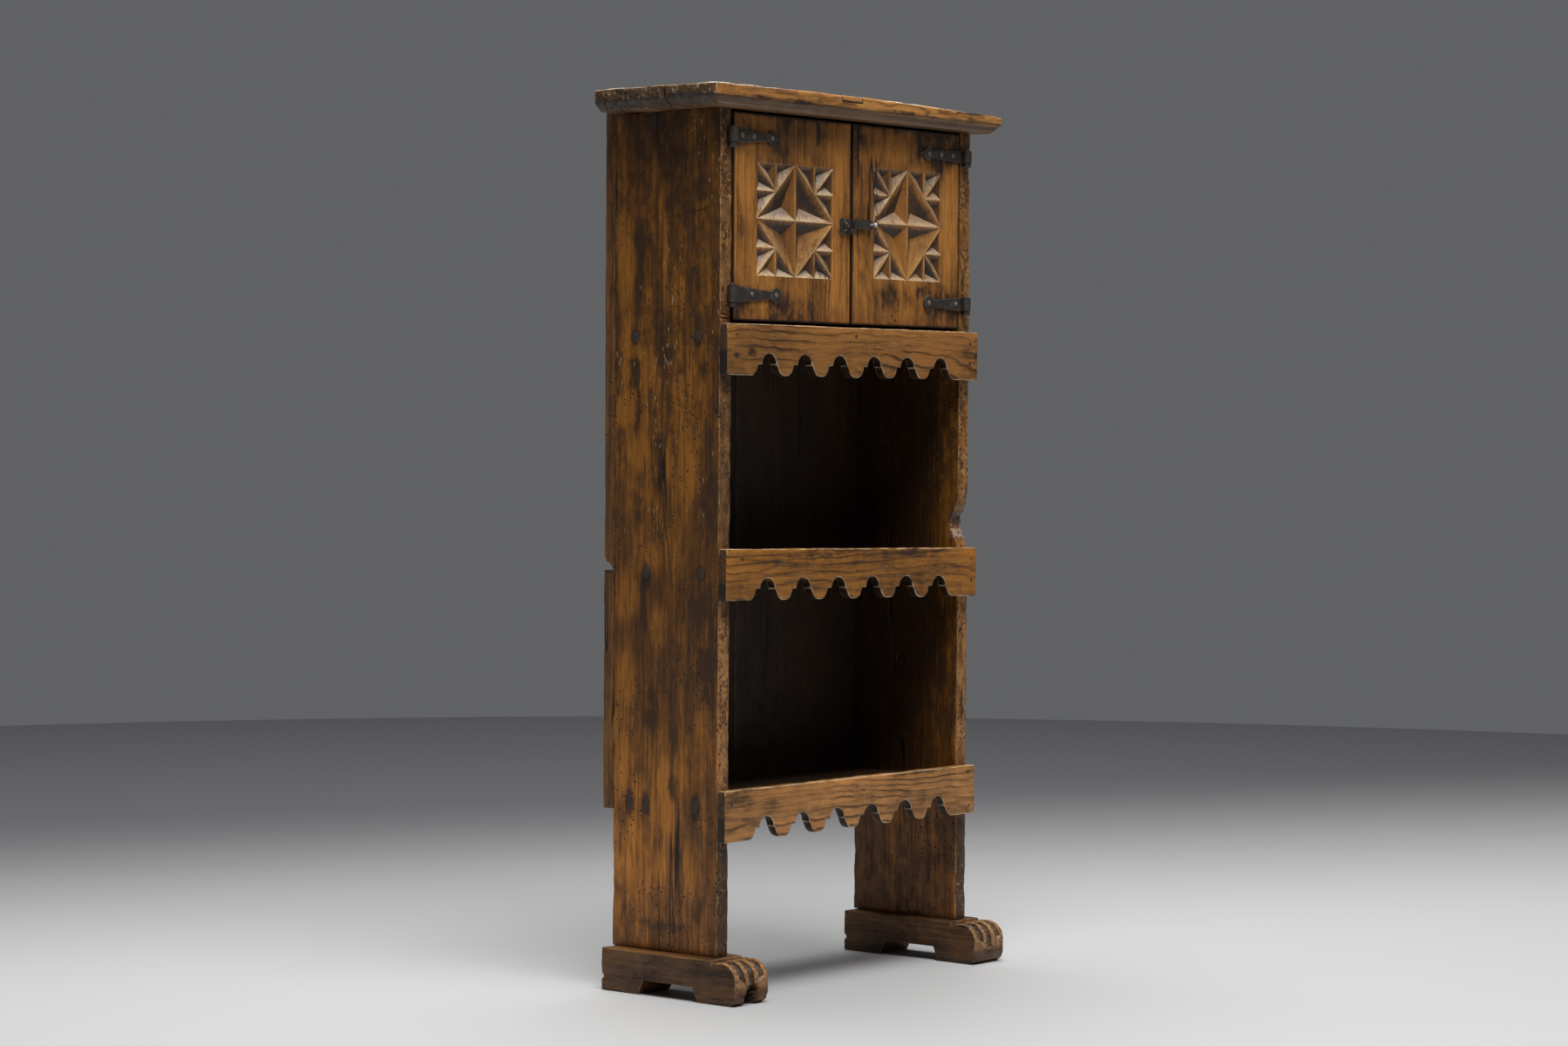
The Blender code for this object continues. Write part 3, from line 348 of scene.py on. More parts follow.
def aged_wood(name, grain, low, high, seed, gold, brown, rings, pith, figure=0.5, stain=0.0, clouds=0.38,
              streaks=0.40, dashes=0.3, pits=0.5, flecked=False, arris_wear_and_sheen_strength=0.7, arris_wear_and_sheen=(0.48, 0.30, 0.13),
              black=(0.022, 0.012, 0.007), spots=(), stray=0.0, knots=(), gloss=0.40, tint=None):
    """Old waxed softwood on a plank between two corners: growth lines about a pith, fibres, dark stain in
    clouds and streaks, worm holes, drying cracks, and a paler arris colour from handling and a painted sheen."""
    material, shader, place = new_material(name)
    shader.inputs["Specular IOR Level"].default_value = 0.32
    shifted = place.vector("ADD", (seed * 1.7, seed * 0.9, seed * 2.3))

    def along(share):
        """The place with its length along the grain squeezed, so that noise on it is drawn out."""
        return shifted.scaled(*squeezed(grain, share))

    # Growth lines run about a pith that wanders beside the plank, and bend round the knots
    heart = (low + high) / 2
    for axis, share in zip([axis for axis in (X, Y, Z) if axis != grain], pith):
        heart[axis] += share * 0.5
    radius = place.less(heart).scaled(*squeezed(grain, 0.10)).length() + along(0.12).noise(7.0) * 0.050
    radius = radius + along(0.4).noise(45.0) * 0.008 + along(0.35).noise(15.0, 2.0) * 0.020
    if knots:
        radius = radius + spot_mask(place, knots) * 0.05
    ring = (radius * rings).math("FRACT")
    faint = along(0.25).noise(16.0).between(0.36, 0.60)
    line = ring.between(0.56, 0.93) * ring.between(1.0, 0.95) * (faint * 0.85 + 0.15)
    fibre = along(0.025).noise(430.0, 3.0, 0.6).between(0.30, 0.70)
    fine = along(0.05).noise(1300.0, 2.0).between(0.30, 0.70)
    dash = along(0.08).noise(190.0, 3.0, 0.6).between(0.57, 0.66, dashes)

    # Stain gathers in clouds, in streaks and strands along the grain, and in smudges
    cloud = along(0.45).noise(4.6, 6.0, 0.62).between(0.36, 0.64)
    streak = along(0.15).noise(21.0, 8.0, 0.66).between(0.38, 0.64)
    smudge = along(0.6).noise(48.0, 6.0, 0.72).between(0.36, 0.66)
    strand = along(0.035).noise(170.0, 4.0, 0.65).between(0.30, 0.70)
    dark = cloud * clouds + streak * streaks + smudge * 0.22 + strand * 0.26 + stain
    if spots:
        drift = along(0.5).noise(26.0, 4.0, 0.65, output=1).less((0.5, 0.5, 0.5))
        strayed = drift.vector("MULTIPLY_ADD", (stray, stray, stray), place)
        dark = dark + spot_mask(strayed, spots) * (smudge * 1.1 + 0.45)
    tan = dark.between(0.12, 0.62)
    soot = (dark + fibre * 0.16 + fine * 0.08).between(0.62, 1.06)

    # Worm holes and drying cracks come in patches, and the rounded edges are paler from handling and a painted
    # sheen
    pit = shifted.specks(120.0).between(0.25, 0.15)
    pit = pit * shifted.noise(8.0).between(0.66 - 0.22 * pits, 0.74 - 0.2 * pits)
    slit = along(0.05).noise(24.0, 3.0, 0.5) - 0.5
    crack = slit.near(0.014, 0.004) * along(0.3).noise(9.0, 1.0).between(0.59, 0.67)
    arris_wear_and_sheen_mask = place.arris_mark().between(0.15, 0.8) * shifted.noise(38.0, 5.0, 0.7).between(0.34, 0.62) * arris_wear_and_sheen_strength

    late_wood, pore = [[part * share for share in brown] for part in (0.30, 0.25)]
    pale_chip, open_hole = (0.54, 0.43, 0.30), (0.006, 0.004, 0.003)
    colour = (tan * 0.85).mix(gold, brown).coated(
        (fibre * 0.50, brown), (line * figure, late_wood), (fine * 0.25, black), (dash, pore),
        (soot * 0.93, black))
    if flecked:
        chip = along(0.22).specks(190.0).between(0.22, 0.09) * place.axis(Z).between(0.60, 0.90, 0.7)
        colour = (chip * along(0.4).noise(16.0, 4.0, 0.6).between(0.50, 0.58)).mix(colour, pale_chip)
    if tint:
        colour = tint(colour, place, place.node("TexCoord", output="Normal"))
    colour = colour.coated((arris_wear_and_sheen_mask * 0.75, arris_wear_and_sheen), (pit.math("MAXIMUM", crack) * 0.92, open_hole))
    colour.feed(shader, "Base Color")
    (gloss + soot * 0.10 - arris_wear_and_sheen_mask * 0.06 + smudge * 0.14 - 0.05).feed(shader, "Roughness")
    relief = fibre * 0.14 + fine * 0.06 - line * figure * 0.22 + smudge * 0.26 + streak * 0.2
    (relief - pit * 1.3 - crack * 1.1 - dash * 0.5).emboss(shader, 0.9, 0.001)
    return material


soot_black = (0.016, 0.010, 0.006)
peg_stains = ((36.5, 664, 11.5, 15), (152, 655, 12, 26), (176, 1034, 11, 15), (45, 1030, 11, 17),
              (183.5, 298, 11, 26), (149.5, 299, 11, 24), (46, 297, 12, 28))


def eaten_edge(colour, place, facing):
    """Worms have opened the front edges, which show dark holes and pale splinters. The bite in the right one
    shows raw wood on its ledge, and the hollow above it is painted dark as painted shade. Dirt rings the pegs
    and fills two splits in the left face. Further back, the faces inside are painted dark as painted shade, and
    the sides are painted paler towards the floor as painted light thrown up from it."""
    interior_shade, rubbed_gold, floor_dirt = (0.024, 0.013, 0.007), (0.42, 0.200, 0.070), (0.030, 0.018, 0.010)
    splinter, worm_hole, hand_grease = (0.52, 0.32, 0.15), (0.010, 0.007, 0.005), (0.040, 0.021, 0.010)
    split_black, bite_hollow_shade, raw_break = (0.014, 0.009, 0.005), (0.050, 0.038, 0.030), (0.34, 0.285, 0.235)
    across, depth, level = map(place.axis, (X, Y, Z))
    # Painted shade: the inner faces grow dark towards the back of the cabinet.
    inside = (facing.axis(X) * (across - middle)).between(-0.15, -0.22)
    inside = inside * level.between(0.30, 0.32) * depth.between(front + 0.004, front + 0.075)
    colour = (inside * 0.80).mix(colour, interior_shade)
    # Painted light: the sides are made paler towards the floor, as light thrown up from it.
    floor_bounce_light = (1.75, 1.72, 1.70)
    colour = level.between(0.55, 0.12).mix(colour, floor_bounce_light, "MULTIPLY")

    # The front edges
    forward = facing.axis(Y).between(-0.55, -0.88)
    grit = place.noise(170.0, 5.0, 0.75)
    uneven = place.scaled(1.0, 1.0, 0.3).noise(70.0, 5.0, 0.7).between(0.36, 0.62, 1.9)
    golden = forward * uneven * level.between(0.27, 0.34) * level.between(2.0, 0.4, 0.40)
    patch = place.noise(13.0).between(0.34, 0.54) * forward
    bored = place.scaled(1.0, 1.0, 0.45).noise(95.0, 2.0).between(0.65, 0.70)
    left = across.between(middle, middle - 0.1)
    handled = forward * left * level.between(0.66, 0.72) * level.between(1.02, 0.96)

    # A level split and a slanting shake in the left face
    waver = place.noise(22.0)
    split = level + depth * 0.15 + waver * 0.010 - (front * 0.15 + 1.240)
    split = split.near(0.0014, 0.0004) * left
    split = split * depth.between(front + 0.018, front + 0.026) * depth.between(front + 0.125, front + 0.060)
    shake = depth - level * 0.167 + waver * 0.014 - (front + 0.119 - 0.775 * 0.167 + 0.007)
    shake = shake.near(0.0017, 0.0005) * left * level.between(0.620, 0.660) * level.between(0.810, 0.770)

    colour = colour.coated(
        (golden, rubbed_gold), (forward * level.between(0.26, 0.22) * 0.65, floor_dirt),
        (patch * grit.between(0.50, 0.41) * 0.85, soot_black),
        (patch * grit.between(0.55, 0.66) * 0.60, splinter),
        (forward * bored * 0.8, worm_hole), (handled * 0.45, hand_grease),
        (split.math("MAXIMUM", shake) * 0.85, split_black))
    for behind, height, wide, tall in peg_stains:
        away = place.less(here(-318, behind, height)).vector("DIVIDE", (0.02, wide / 1000, tall / 1000))
        far = away.length() + grit * 0.7 - 0.35
        colour = (far.between(1.10, 0.60) * 0.75).mix(colour, soot_black)
    # Painted shade: the hollow of the bite is darkened.
    hollow = spot_mask(place, stains((305, 10, 742, 30, 22, 20, 120)))
    ledge = spot_mask(place, stains((305, 8, 717, 30, 24, 13, 120))) * grit.between(0.38, 0.62)
    return colour.coated((hollow.at_most(0.85), bite_hollow_shade), (ledge.at_most(0.80), raw_break))


# Places on the left side: depth, height, reach each way and strength in hundredths
rubbed_spots = (
    (135, 1300, 12, 60, 40), (120, 1225, 12, 70, 45), (115, 1155, 12, 60, 40), (195, 1145, 30, 130, 40),
    (20, 1320, 15, 50, 25), (95, 1100, 45, 45, 25), (145, 990, 30, 50, 30), (195, 1030, 10, 60, 30),
    (200, 915, 30, 35, 25), (170, 850, 30, 45, 25), (105, 845, 15, 65, 30), (65, 830, 30, 65, 30),
    (85, 955, 30, 30, 20), (135, 690, 25, 40, 30), (105, 710, 15, 45, 30), (195, 620, 40, 60, 40),
    (130, 580, 35, 55, 40), (190, 495, 35, 75, 40), (200, 355, 25, 75, 35), (110, 310, 15, 100, 40),
    (160, 325, 25, 35, 25), (180, 230, 20, 75, 25), (115, 195, 25, 50, 30), (60, 205, 25, 75, 25),
    (0, 880, 7, 90, 10), (0, 500, 7, 120, 20))
# The first two rows darken the upper side as painted shade under the top's overhang; the others are stains.
stain_and_shade_spots = (
    (100, 1150, 300, 500, 20), (110, 1380, 200, 50, 10), (165, 1150, 15, 80, 35), (180, 980, 20, 40, 50),
    (120, 1010, 20, 35, 25), (40, 1260, 15, 30, 25), (25, 985, 25, 30, 25), (170, 930, 10, 70, 60),
    (200, 865, 15, 50, 30), (130, 830, 15, 70, 40), (95, 880, 10, 70, 25), (165, 775, 15, 70, 25),
    (20, 780, 35, 110, 30), (155, 635, 10, 35, 60), (155, 600, 8, 45, 60), (65, 625, 25, 65, 30),
    (20, 540, 45, 150, 40), (140, 445, 25, 60, 35), (90, 430, 15, 90, 25), (90, 325, 20, 30, 30),
    (80, 235, 20, 55, 20), (110, 110, 75, 12, 30), (50, 140, 35, 30, 25), (200, 150, 15, 60, 25),
    (0, 1350, 8, 60, 45), (0, 120, 4, 160, 25))
# A bite out of the right front edge, as pairs of height and depth in millimetres, with a ledge below it
bite = ((690, 2), (702, 5), (710, 7), (720, 12), (727, 17), (742, 16), (752, 9), (765, 3), (776, 0))
bite_reach = 0.040
for word, hand in (("left", -1), ("right", 1)):
    low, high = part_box(f"{word}_side")
    low.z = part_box(f"{word}_foot")[1].z + 0.0003
    board = sawn_board(low, high, 0.0022, (Z, 0.009), (Y, 0.012), (X, 0.009))
    if hand < 0:
        saw_across(board, (Z, 0.003, 1.052, 1.084))
    else:
        saw_across(board, (Z, 0.003, 0.690, 0.780), (Y, 0.004, low.y, low.y + 0.048))
    weather(board, Z, 0.0008, 0.0016, 1.5 + hand * 0.5)
    if hand < 0:
        for height in (1061, 1067.5, 1073.5):
            gouge(board, here(-305, 0, height), (0.016, 0.006, 0.0022), (0, 0.0035, 0))
        gouge(board, here(-313, 0, 547), (0.006, 0.006, 0.009), (0.002, 0.006, 0))
        gouge(board, here(-318, 2, 906), (0.005, 0.006, 0.020), (0.004, 0.004, 0))
        spots = stains(*[(-305, behind, height, 100, wide, tall, sign * strength)
                         for sign, rows in ((-1, rubbed_spots), (1, stain_and_shade_spots))
                         for behind, height, wide, tall, strength in rows])
    else:
        for vert in board.verts:
            behind = vert.co.y - front
            for (bottom, shallow), (top, deep) in zip(bite, bite[1:]):
                if bottom / 1000 <= vert.co.z < top / 1000 and behind < bite_reach:
                    depth = shallow + (deep - shallow) * (vert.co.z * 1000 - bottom) / (top - bottom)
                    depth = depth * (1 + 0.35 * noise.noise(vert.co * 160)) / 1000
                    vert.co.y += depth * (1 - behind / bite_reach)
        gouge(board, here(312, 0, 1322), (0.01, 0.006, 0.02), (-0.002, 0.004, 0))
        spots = stains((300, 60, 1330, 200, 200, 120, 26), (291, 110, 900, 12, 250, 220, 24),
                       (291, 110, 500, 12, 250, 240, 24), (305, 110, 40, 200, 400, 400, 10))
    wood = aged_wood(f"{word}_side_wood", Z, low, high, 1.0 + hand * 0.37, gold=(0.41, 0.160, 0.022),
                     brown=(0.102, 0.039, 0.0080), rings=120.0, pith=(0.35, 0.3), figure=0.40, clouds=0.28,
                     streaks=0.28, dashes=0.45, pits=0.9, flecked=True, black=(0.042, 0.0185, 0.0065),
                     spots=spots, stray=0.03, tint=eaten_edge)
    piece(f"{word}_side_plank", board, wood, "carcass", [f"{word}_side"])


# Sled feet
# Two thick blocks lie front to back under the sides. Each has an arch cut under it, a notch at the heel, and
# a nose carved with three gouged flutes between ribs; the left one has lost a splinter at the toe.
def draw_out(bm, corners, way):
    """Makes a face of corners and draws it out into a board."""
    face = bm.faces.new(corners)
    swept = bmesh.ops.extrude_face_region(bm, geom=[face, *face.edges])["geom"]
    bmesh.ops.translate(bm, verts=[item for item in swept if isinstance(item, bmesh.types.BMVert)], vec=way)


# The outline from the toe round the sole and heel to the collar, as distances behind the toe and heights
below_nose = [(0.0005, 0.016), (0.004, 0.006), (0.012, 0.0)]
sole = [(0.080, 0.0), (0.091, 0.023), (0.193, 0.023), (0.204, 0.0)]
heel = [(0.282, 0.0), (0.282, 0.017), (0.2775, 0.0225), (0.282, 0.028), (0.282, 0.068)]
collar = [(0.054, 0.068), (0.0505, 0.0612), (0.0475, 0.0655)]
nose, nose_drop = 0.030, 0.0015
flute_half, flute_wall, flute_depth, flute_run, flute_pitch = 0.0072, 0.0007, 0.0040, 0.0465, 0.0225
for word, hand in (("left", -1), ("right", 1)):
    low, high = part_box(f"{word}_foot")
    centre = Vector((0, low.y + nose, high.z - nose_drop - nose))
    foot = bmesh.new()
    start = foot.verts.new((low.x, centre.y, centre.z + nose))
    bmesh.ops.spin(foot, geom=[start], cent=centre, axis=(1, 0, 0), angle=math.pi / 2, steps=16)
    curl = sorted(foot.verts, key=lambda vert: -vert.co.y)
    rest = [foot.verts.new((low.x, low.y + y, z)) for y, z in below_nose + sole + heel + collar]
    draw_out(foot, curl + rest, (high.x - low.x, 0, 0))
    bmesh.ops.recalc_face_normals(foot, faces=foot.faces)
    soften(foot, 0.0018)
    saw_across(foot, (X, 0.0026), (Z, 0.0024), (Y, 0.0090, low.y + 0.055, high.y))
    # Three flutes with upright walls run over the nose. The outer ones end in a slant, the middle squarely
    flutes = [((low.x + high.x) / 2 + offset * flute_pitch, offset) for offset in (-1, 0, 1)]
    for heart, _ in flutes:
        for edge in (-flute_half, flute_wall - flute_half, flute_half - flute_wall, flute_half):
            saw_at(foot, X, heart + edge)
    moves = {}
    for vert in foot.verts:
        ahead = low.y + flute_run - vert.co.y
        outward = Vector((0, vert.co.y - centre.y, max(0.0, vert.co.z - centre.z)))
        for heart, offset in flutes:
            across = vert.co.x - heart
            stop = 0.0255 if offset == 0 else 0.036 + 0.5 * abs(across + offset * flute_half)
            in_flute = abs(across) < flute_half - flute_wall / 2 and ahead > 0 and vert.co.z > stop
            if in_flute and outward.length > nose - 0.003:
                ripple = 1 + 0.22 * noise.noise(vert.co * 260)
                moves[vert] = outward.normalized() * -flute_depth * min(1.0, ahead / 0.004) * ripple
    for vert, move in moves.items():
        vert.co += move
    weather(foot, Y, 0.0007, 0.0011, 3.0 + hand)
    if hand < 0:
        gouge(foot, here(-306, -66, 8), (0.0165, 0.024, 0.024), (0, 0.024, 0.001))
        gouge(foot, here(-297, -62, 24), (0.010, 0.014, 0.009), (0, 0.013, 0), 0.6)

    def ribs_with_painted_highlight(colour, place, facing):
        """The flutes hold grey dirt, and the ribs between them are golden from handling and a painted highlight.
        The toe's hole is painted dark as painted shade.
        """
        handled, toe_hole_shade = (0.50, 0.270, 0.110), (0.010, 0.008, 0.006)
        across, depth, level = map(place.axis, (X, Y, Z))
        sunk = place.less(centre).scaled(0.0, 1.0, 1.0).length().between(nose - 0.0012, nose - 0.0030)
        ahead = depth.between(centre.y + 0.014, centre.y + 0.010)
        grain = place.noise(180.0, 4.0, 0.7)
        rib = ahead * (1.0 - sunk) * level.between(0.020, 0.032) * grain.between(0.34, 0.60)
        flute = ahead * sunk * level.between(0.024, 0.028) * across.between(low.x + 0.004, low.x + 0.006)
        flute = flute * across.between(high.x - 0.004, high.x - 0.006)
        dirt = grain.between(0.4, 0.66).mix((0.035, 0.027, 0.021), (0.150, 0.115, 0.088))
        # The golden ribs are handling and a painted highlight.
        colour = colour.coated((rib * 0.70, handled), (flute * 0.80, dirt))
        if hand < 0:
            # Painted shade in the toe's hole.
            hole = spot_mask(place, stains((-305, -50, 10, 20, 20, 26, 130)))
            hole = hole * depth.between(low.y + 0.006, low.y + 0.011)
            colour = hole.at_most(0.95).mix(colour, toe_hole_shade)
        return colour

    spots = stains((hand * 305, 120, 40, 100, 120, 30, 10), (-344, -22, 9.5, 20, 30, 1.4, 90),
                   (-344, -52, 12, 20, 12, 1.2, 90))
    wood = aged_wood(f"{word}_foot_wood", Y, low, high, 4.0 + hand, gold=(0.23, 0.104, 0.034),
                     brown=(0.080, 0.036, 0.014), arris_wear_and_sheen=(0.40, 0.225, 0.092), stain=-0.07, rings=130.0,
                     pith=(0.2, -0.3), figure=0.4, pits=0.35, arris_wear_and_sheen_strength=0.8, spots=spots, gloss=0.38,
                     tint=ribs_with_painted_highlight)
    piece(f"{word}_sled_foot", foot, wood, "carcass", [f"{word}_foot"])


# Shelves and door stop
# Three plain boards housed in the sides: the cupboard's floor, the middle shelf and the bottom shelf. A thin
# batten under the top stops the doors.
for number, node in enumerate(("cupboard_floor", "middle_shelf", "bottom_shelf", "door_stop")):
    low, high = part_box(node)
    board = sawn_board(low, high, 0.0015, (X, 0.020), (Y, 0.020))
    weather(board, X, 0.0006, 0.0012, 6.0 + number)
    wood = aged_wood(f"{node}_wood", X, low, high, 6.0 + number, gold=(0.13, 0.062, 0.022),
                     brown=(0.050, 0.024, 0.010), stain=0.09, rings=110.0, pith=(0.1, 0.5), figure=0.4,
                     pits=0.3, arris_wear_and_sheen_strength=0.4, gloss=0.55)
    piece(f"{node}_board", board, wood, "carcass", [node])


# Back boards
# Four upright planks in two tiers are nailed across the back of the sides; they are rougher and darker. The
# upper left one has lost its lower corner.
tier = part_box("back_board_lower_left")[1].z
back_places = [(row, word) for row in ("upper", "lower") for word in ("left", "right")]
for number, (row, word) in enumerate(back_places):
    node = f"back_board_{row}_{word}"
    low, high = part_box(node)
    board = sawn_board(low, high, 0.0018, (Z, 0.015), (X, 0.020))
    if number == 0:
        saw_across(board, (Z, 0.004, low.z, low.z + 0.024), (X, 0.005, low.x, low.x + 0.040), (Y, 0.004))
    weather(board, Z, 0.0009, 0.0012, 10.0 + number)
    # The two boards of a tier meet in a tight joint
    joint, side = (high.x + 0.0004, 1) if word == "left" else (low.x - 0.0002, -1)
    board.normal_update()
    for vert in board.verts:
        if vert.normal.x * side > 0.9 and abs(vert.co.x - joint) < 0.004:
            vert.co.x = joint
    if number == 0:
        gouge(board, Vector((low.x, high.y, low.z)), (0.030, 0.020, 0.017), (0, -0.004, 0.011), 0.2)

    def shaded_inside(colour, place, facing):
        """The faces inside the cabinet are painted dark as painted shade, unlike the edges and back. Dirt fills
        the joints.
        """
        interior_shade, joint_dirt = (0.016, 0.009, 0.005), (0.012, 0.008, 0.006)
        dirt = (place.axis(Z) - tier).near(0.0065, 0.0015) + (place.axis(X) - joint).near(0.0028, 0.0008)
        # Painted shade on the inward faces of the back boards.
        inward = facing.axis(Y).between(-0.4, -0.8)
        return colour.coated((inward * 0.88, interior_shade), (dirt.at_most(0.9), joint_dirt))

    wood = aged_wood(f"{node}_wood", Z, low, high, 10.0 + number, gold=(0.32, 0.140, 0.036),
                     brown=(0.115, 0.048, 0.014), stain=-0.07, rings=100.0, pith=(0.15, 0.4), arris_wear_and_sheen_strength=0.4,
                     black=(0.035, 0.019, 0.010), gloss=0.50, tint=shaded_inside)
    piece(f"{node}_plank", board, wood, "carcass", [node])


# Scalloped aprons
# Three golden boards with a fretted lower edge, nailed across the fronts of the sides and shelves. Each fret
# is an arch on two small steps, sawn between rounded tongues.
def fret_outline(length, height):
    """Front view of an apron about its middle, as (x, z) points."""
    frets, margins, ledge, arch, steps, bottom = 6, 0.115, 0.0180, 0.0170, 14, -height / 2
    left = [(-0.0412, 0.0003), (-0.0368, 0.0018), (-0.0330, 0.0048), (-0.0300, 0.0092), (-0.0282, 0.0138),
            (-0.0270, ledge)]
    crown = [(-arch * math.cos(math.pi * k / steps), ledge + arch * math.sin(math.pi * k / steps))
             for k in range(steps + 1)]
    right = [(0.0198, 0.0160), (0.0220, 0.0114), (0.0247, 0.0070), (0.0282, 0.0034), (0.0326, 0.0010),
             (0.0375, 0.0001)]
    row = [((number - (frets - 1) / 2) * (length - margins) / frets + x, bottom + z)
           for number in range(frets) for x, z in left + crown + right]
    return row + [(length / 2, bottom), (length / 2, -bottom), (-length / 2, -bottom), (-length / 2, bottom)]


def dull(bm, share, chosen):
    """Leaves only a share of the paler arris colour, from handling and a painted sheen, at chosen places."""
    arris = bm.verts.layers.float["arris"]
    for vert in bm.verts:
        if chosen(vert.co):
            vert[arris] *= share


apron_length, apron_height, crown_height = 0.6404, 0.0815, 0.037
for number, (node, lean, gold, knot_places) in enumerate((
        ("upper_apron", 0.0, (0.38, 0.162, 0.040), ((90, 27, 16), (-286, 42, 12))),
        ("middle_apron", math.radians(1.0), (0.50, 0.196, 0.030), ((-180, 30, 10), (215, 45, 12))),
        ("lower_apron", 0.0, (0.65, 0.292, 0.084), ((20, 25, 13), (-250, 60, 10))))):
    low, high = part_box(node)
    knots = [(Vector((middle + x / 1000, low.y, high.z - down / 1000)),
              (size * 0.0022, 0.05, size * 0.001), 1.0) for x, down, size in knot_places]
    board = bmesh.new()
    corners = [board.verts.new((x, 0, z)) for x, z in fret_outline(apron_length, apron_height)]
    draw_out(board, corners, (0, high.y - low.y, 0))
    bmesh.ops.recalc_face_normals(board, faces=board.faces)
    stand = Matrix.Translation(((low.x + high.x) / 2, low.y, (low.z + high.z) / 2))
    bmesh.ops.transform(board, matrix=stand @ Matrix.Rotation(lean, 4, "Y"), verts=board.verts)
    soften(board, 0.0024)
    saw_across(board, (X, 0.010), (Z, 0.012))
    weather(board, X, 0.0007, 0.0011, 15.0 + number)
    dull(board, 0.35, lambda co: min(co.x - low.x, high.x - co.x) < 0.004 and co.z < high.z - 0.006)
    crown = low.z + crown_height

    def dark_frets_and_grimy_ends(colour, place, facing):
        """The sawn walls of the frets are painted dark, and the sawn ends are dark with old grime."""
        end_grime, fret_wall_dark = (0.024, 0.016, 0.011), (0.014, 0.009, 0.006)
        sideways, turned = map(facing.vector("ABSOLUTE").axis, (X, Y))
        fret = turned.between(0.80, 0.45) * place.axis(Z).between(crown + 0.004, crown)
        return colour.coated((sideways.between(0.80, 0.95) * 0.8, end_grime), (fret * 0.88, fret_wall_dark))

    spots = stains(*[(x, -17, z, wide, 50, tall, strength) for x, z, wide, tall, strength in (
        (-300, 1000, 40, 50, 10), (300, 1000, 50, 60, 10), (-262, 1008, 15, 12, 50), (-298, 1003, 8, 6, 50),
        (-100, 690, 100, 10, 22), (170, 690, 100, 12, 20))])
    # The aprons' near-white arris colour paints a highlight along their upper edges, over real handling.
    wood = aged_wood(f"{node}_wood", X, low, high, 15.0 + number, gold, [share * 0.48 for share in gold],
                     arris_wear_and_sheen=(0.72, 0.55, 0.36), stain=-0.25, clouds=0.52, streaks=0.26, rings=120.0,
                     pith=(0.10, -0.06 - 0.03 * number), figure=1.1, pits=0.25, arris_wear_and_sheen_strength=1.1, spots=spots,
                     knots=knots, tint=dark_frets_and_grimy_ends)
    piece(f"{node}_board", board, wood, "carcass", [node])


# Top
# Two long boards lie side by side over the sides, with an under-cut front and ends. The edge is rubbed wavy,
# the left end shows rough end grain, and a small piece is let into the front edge.
def copied(node):
    """A CAD node's mesh with its loose triangles merged into whole faces."""
    bm = bmesh.new()
    bm.from_mesh(frame["nodes"][node].data)
    bmesh.ops.remove_doubles(bm, verts=bm.verts, dist=1e-5)
    bmesh.ops.dissolve_limit(bm, angle_limit=0.01, verts=bm.verts, edges=bm.edges)
    return bm


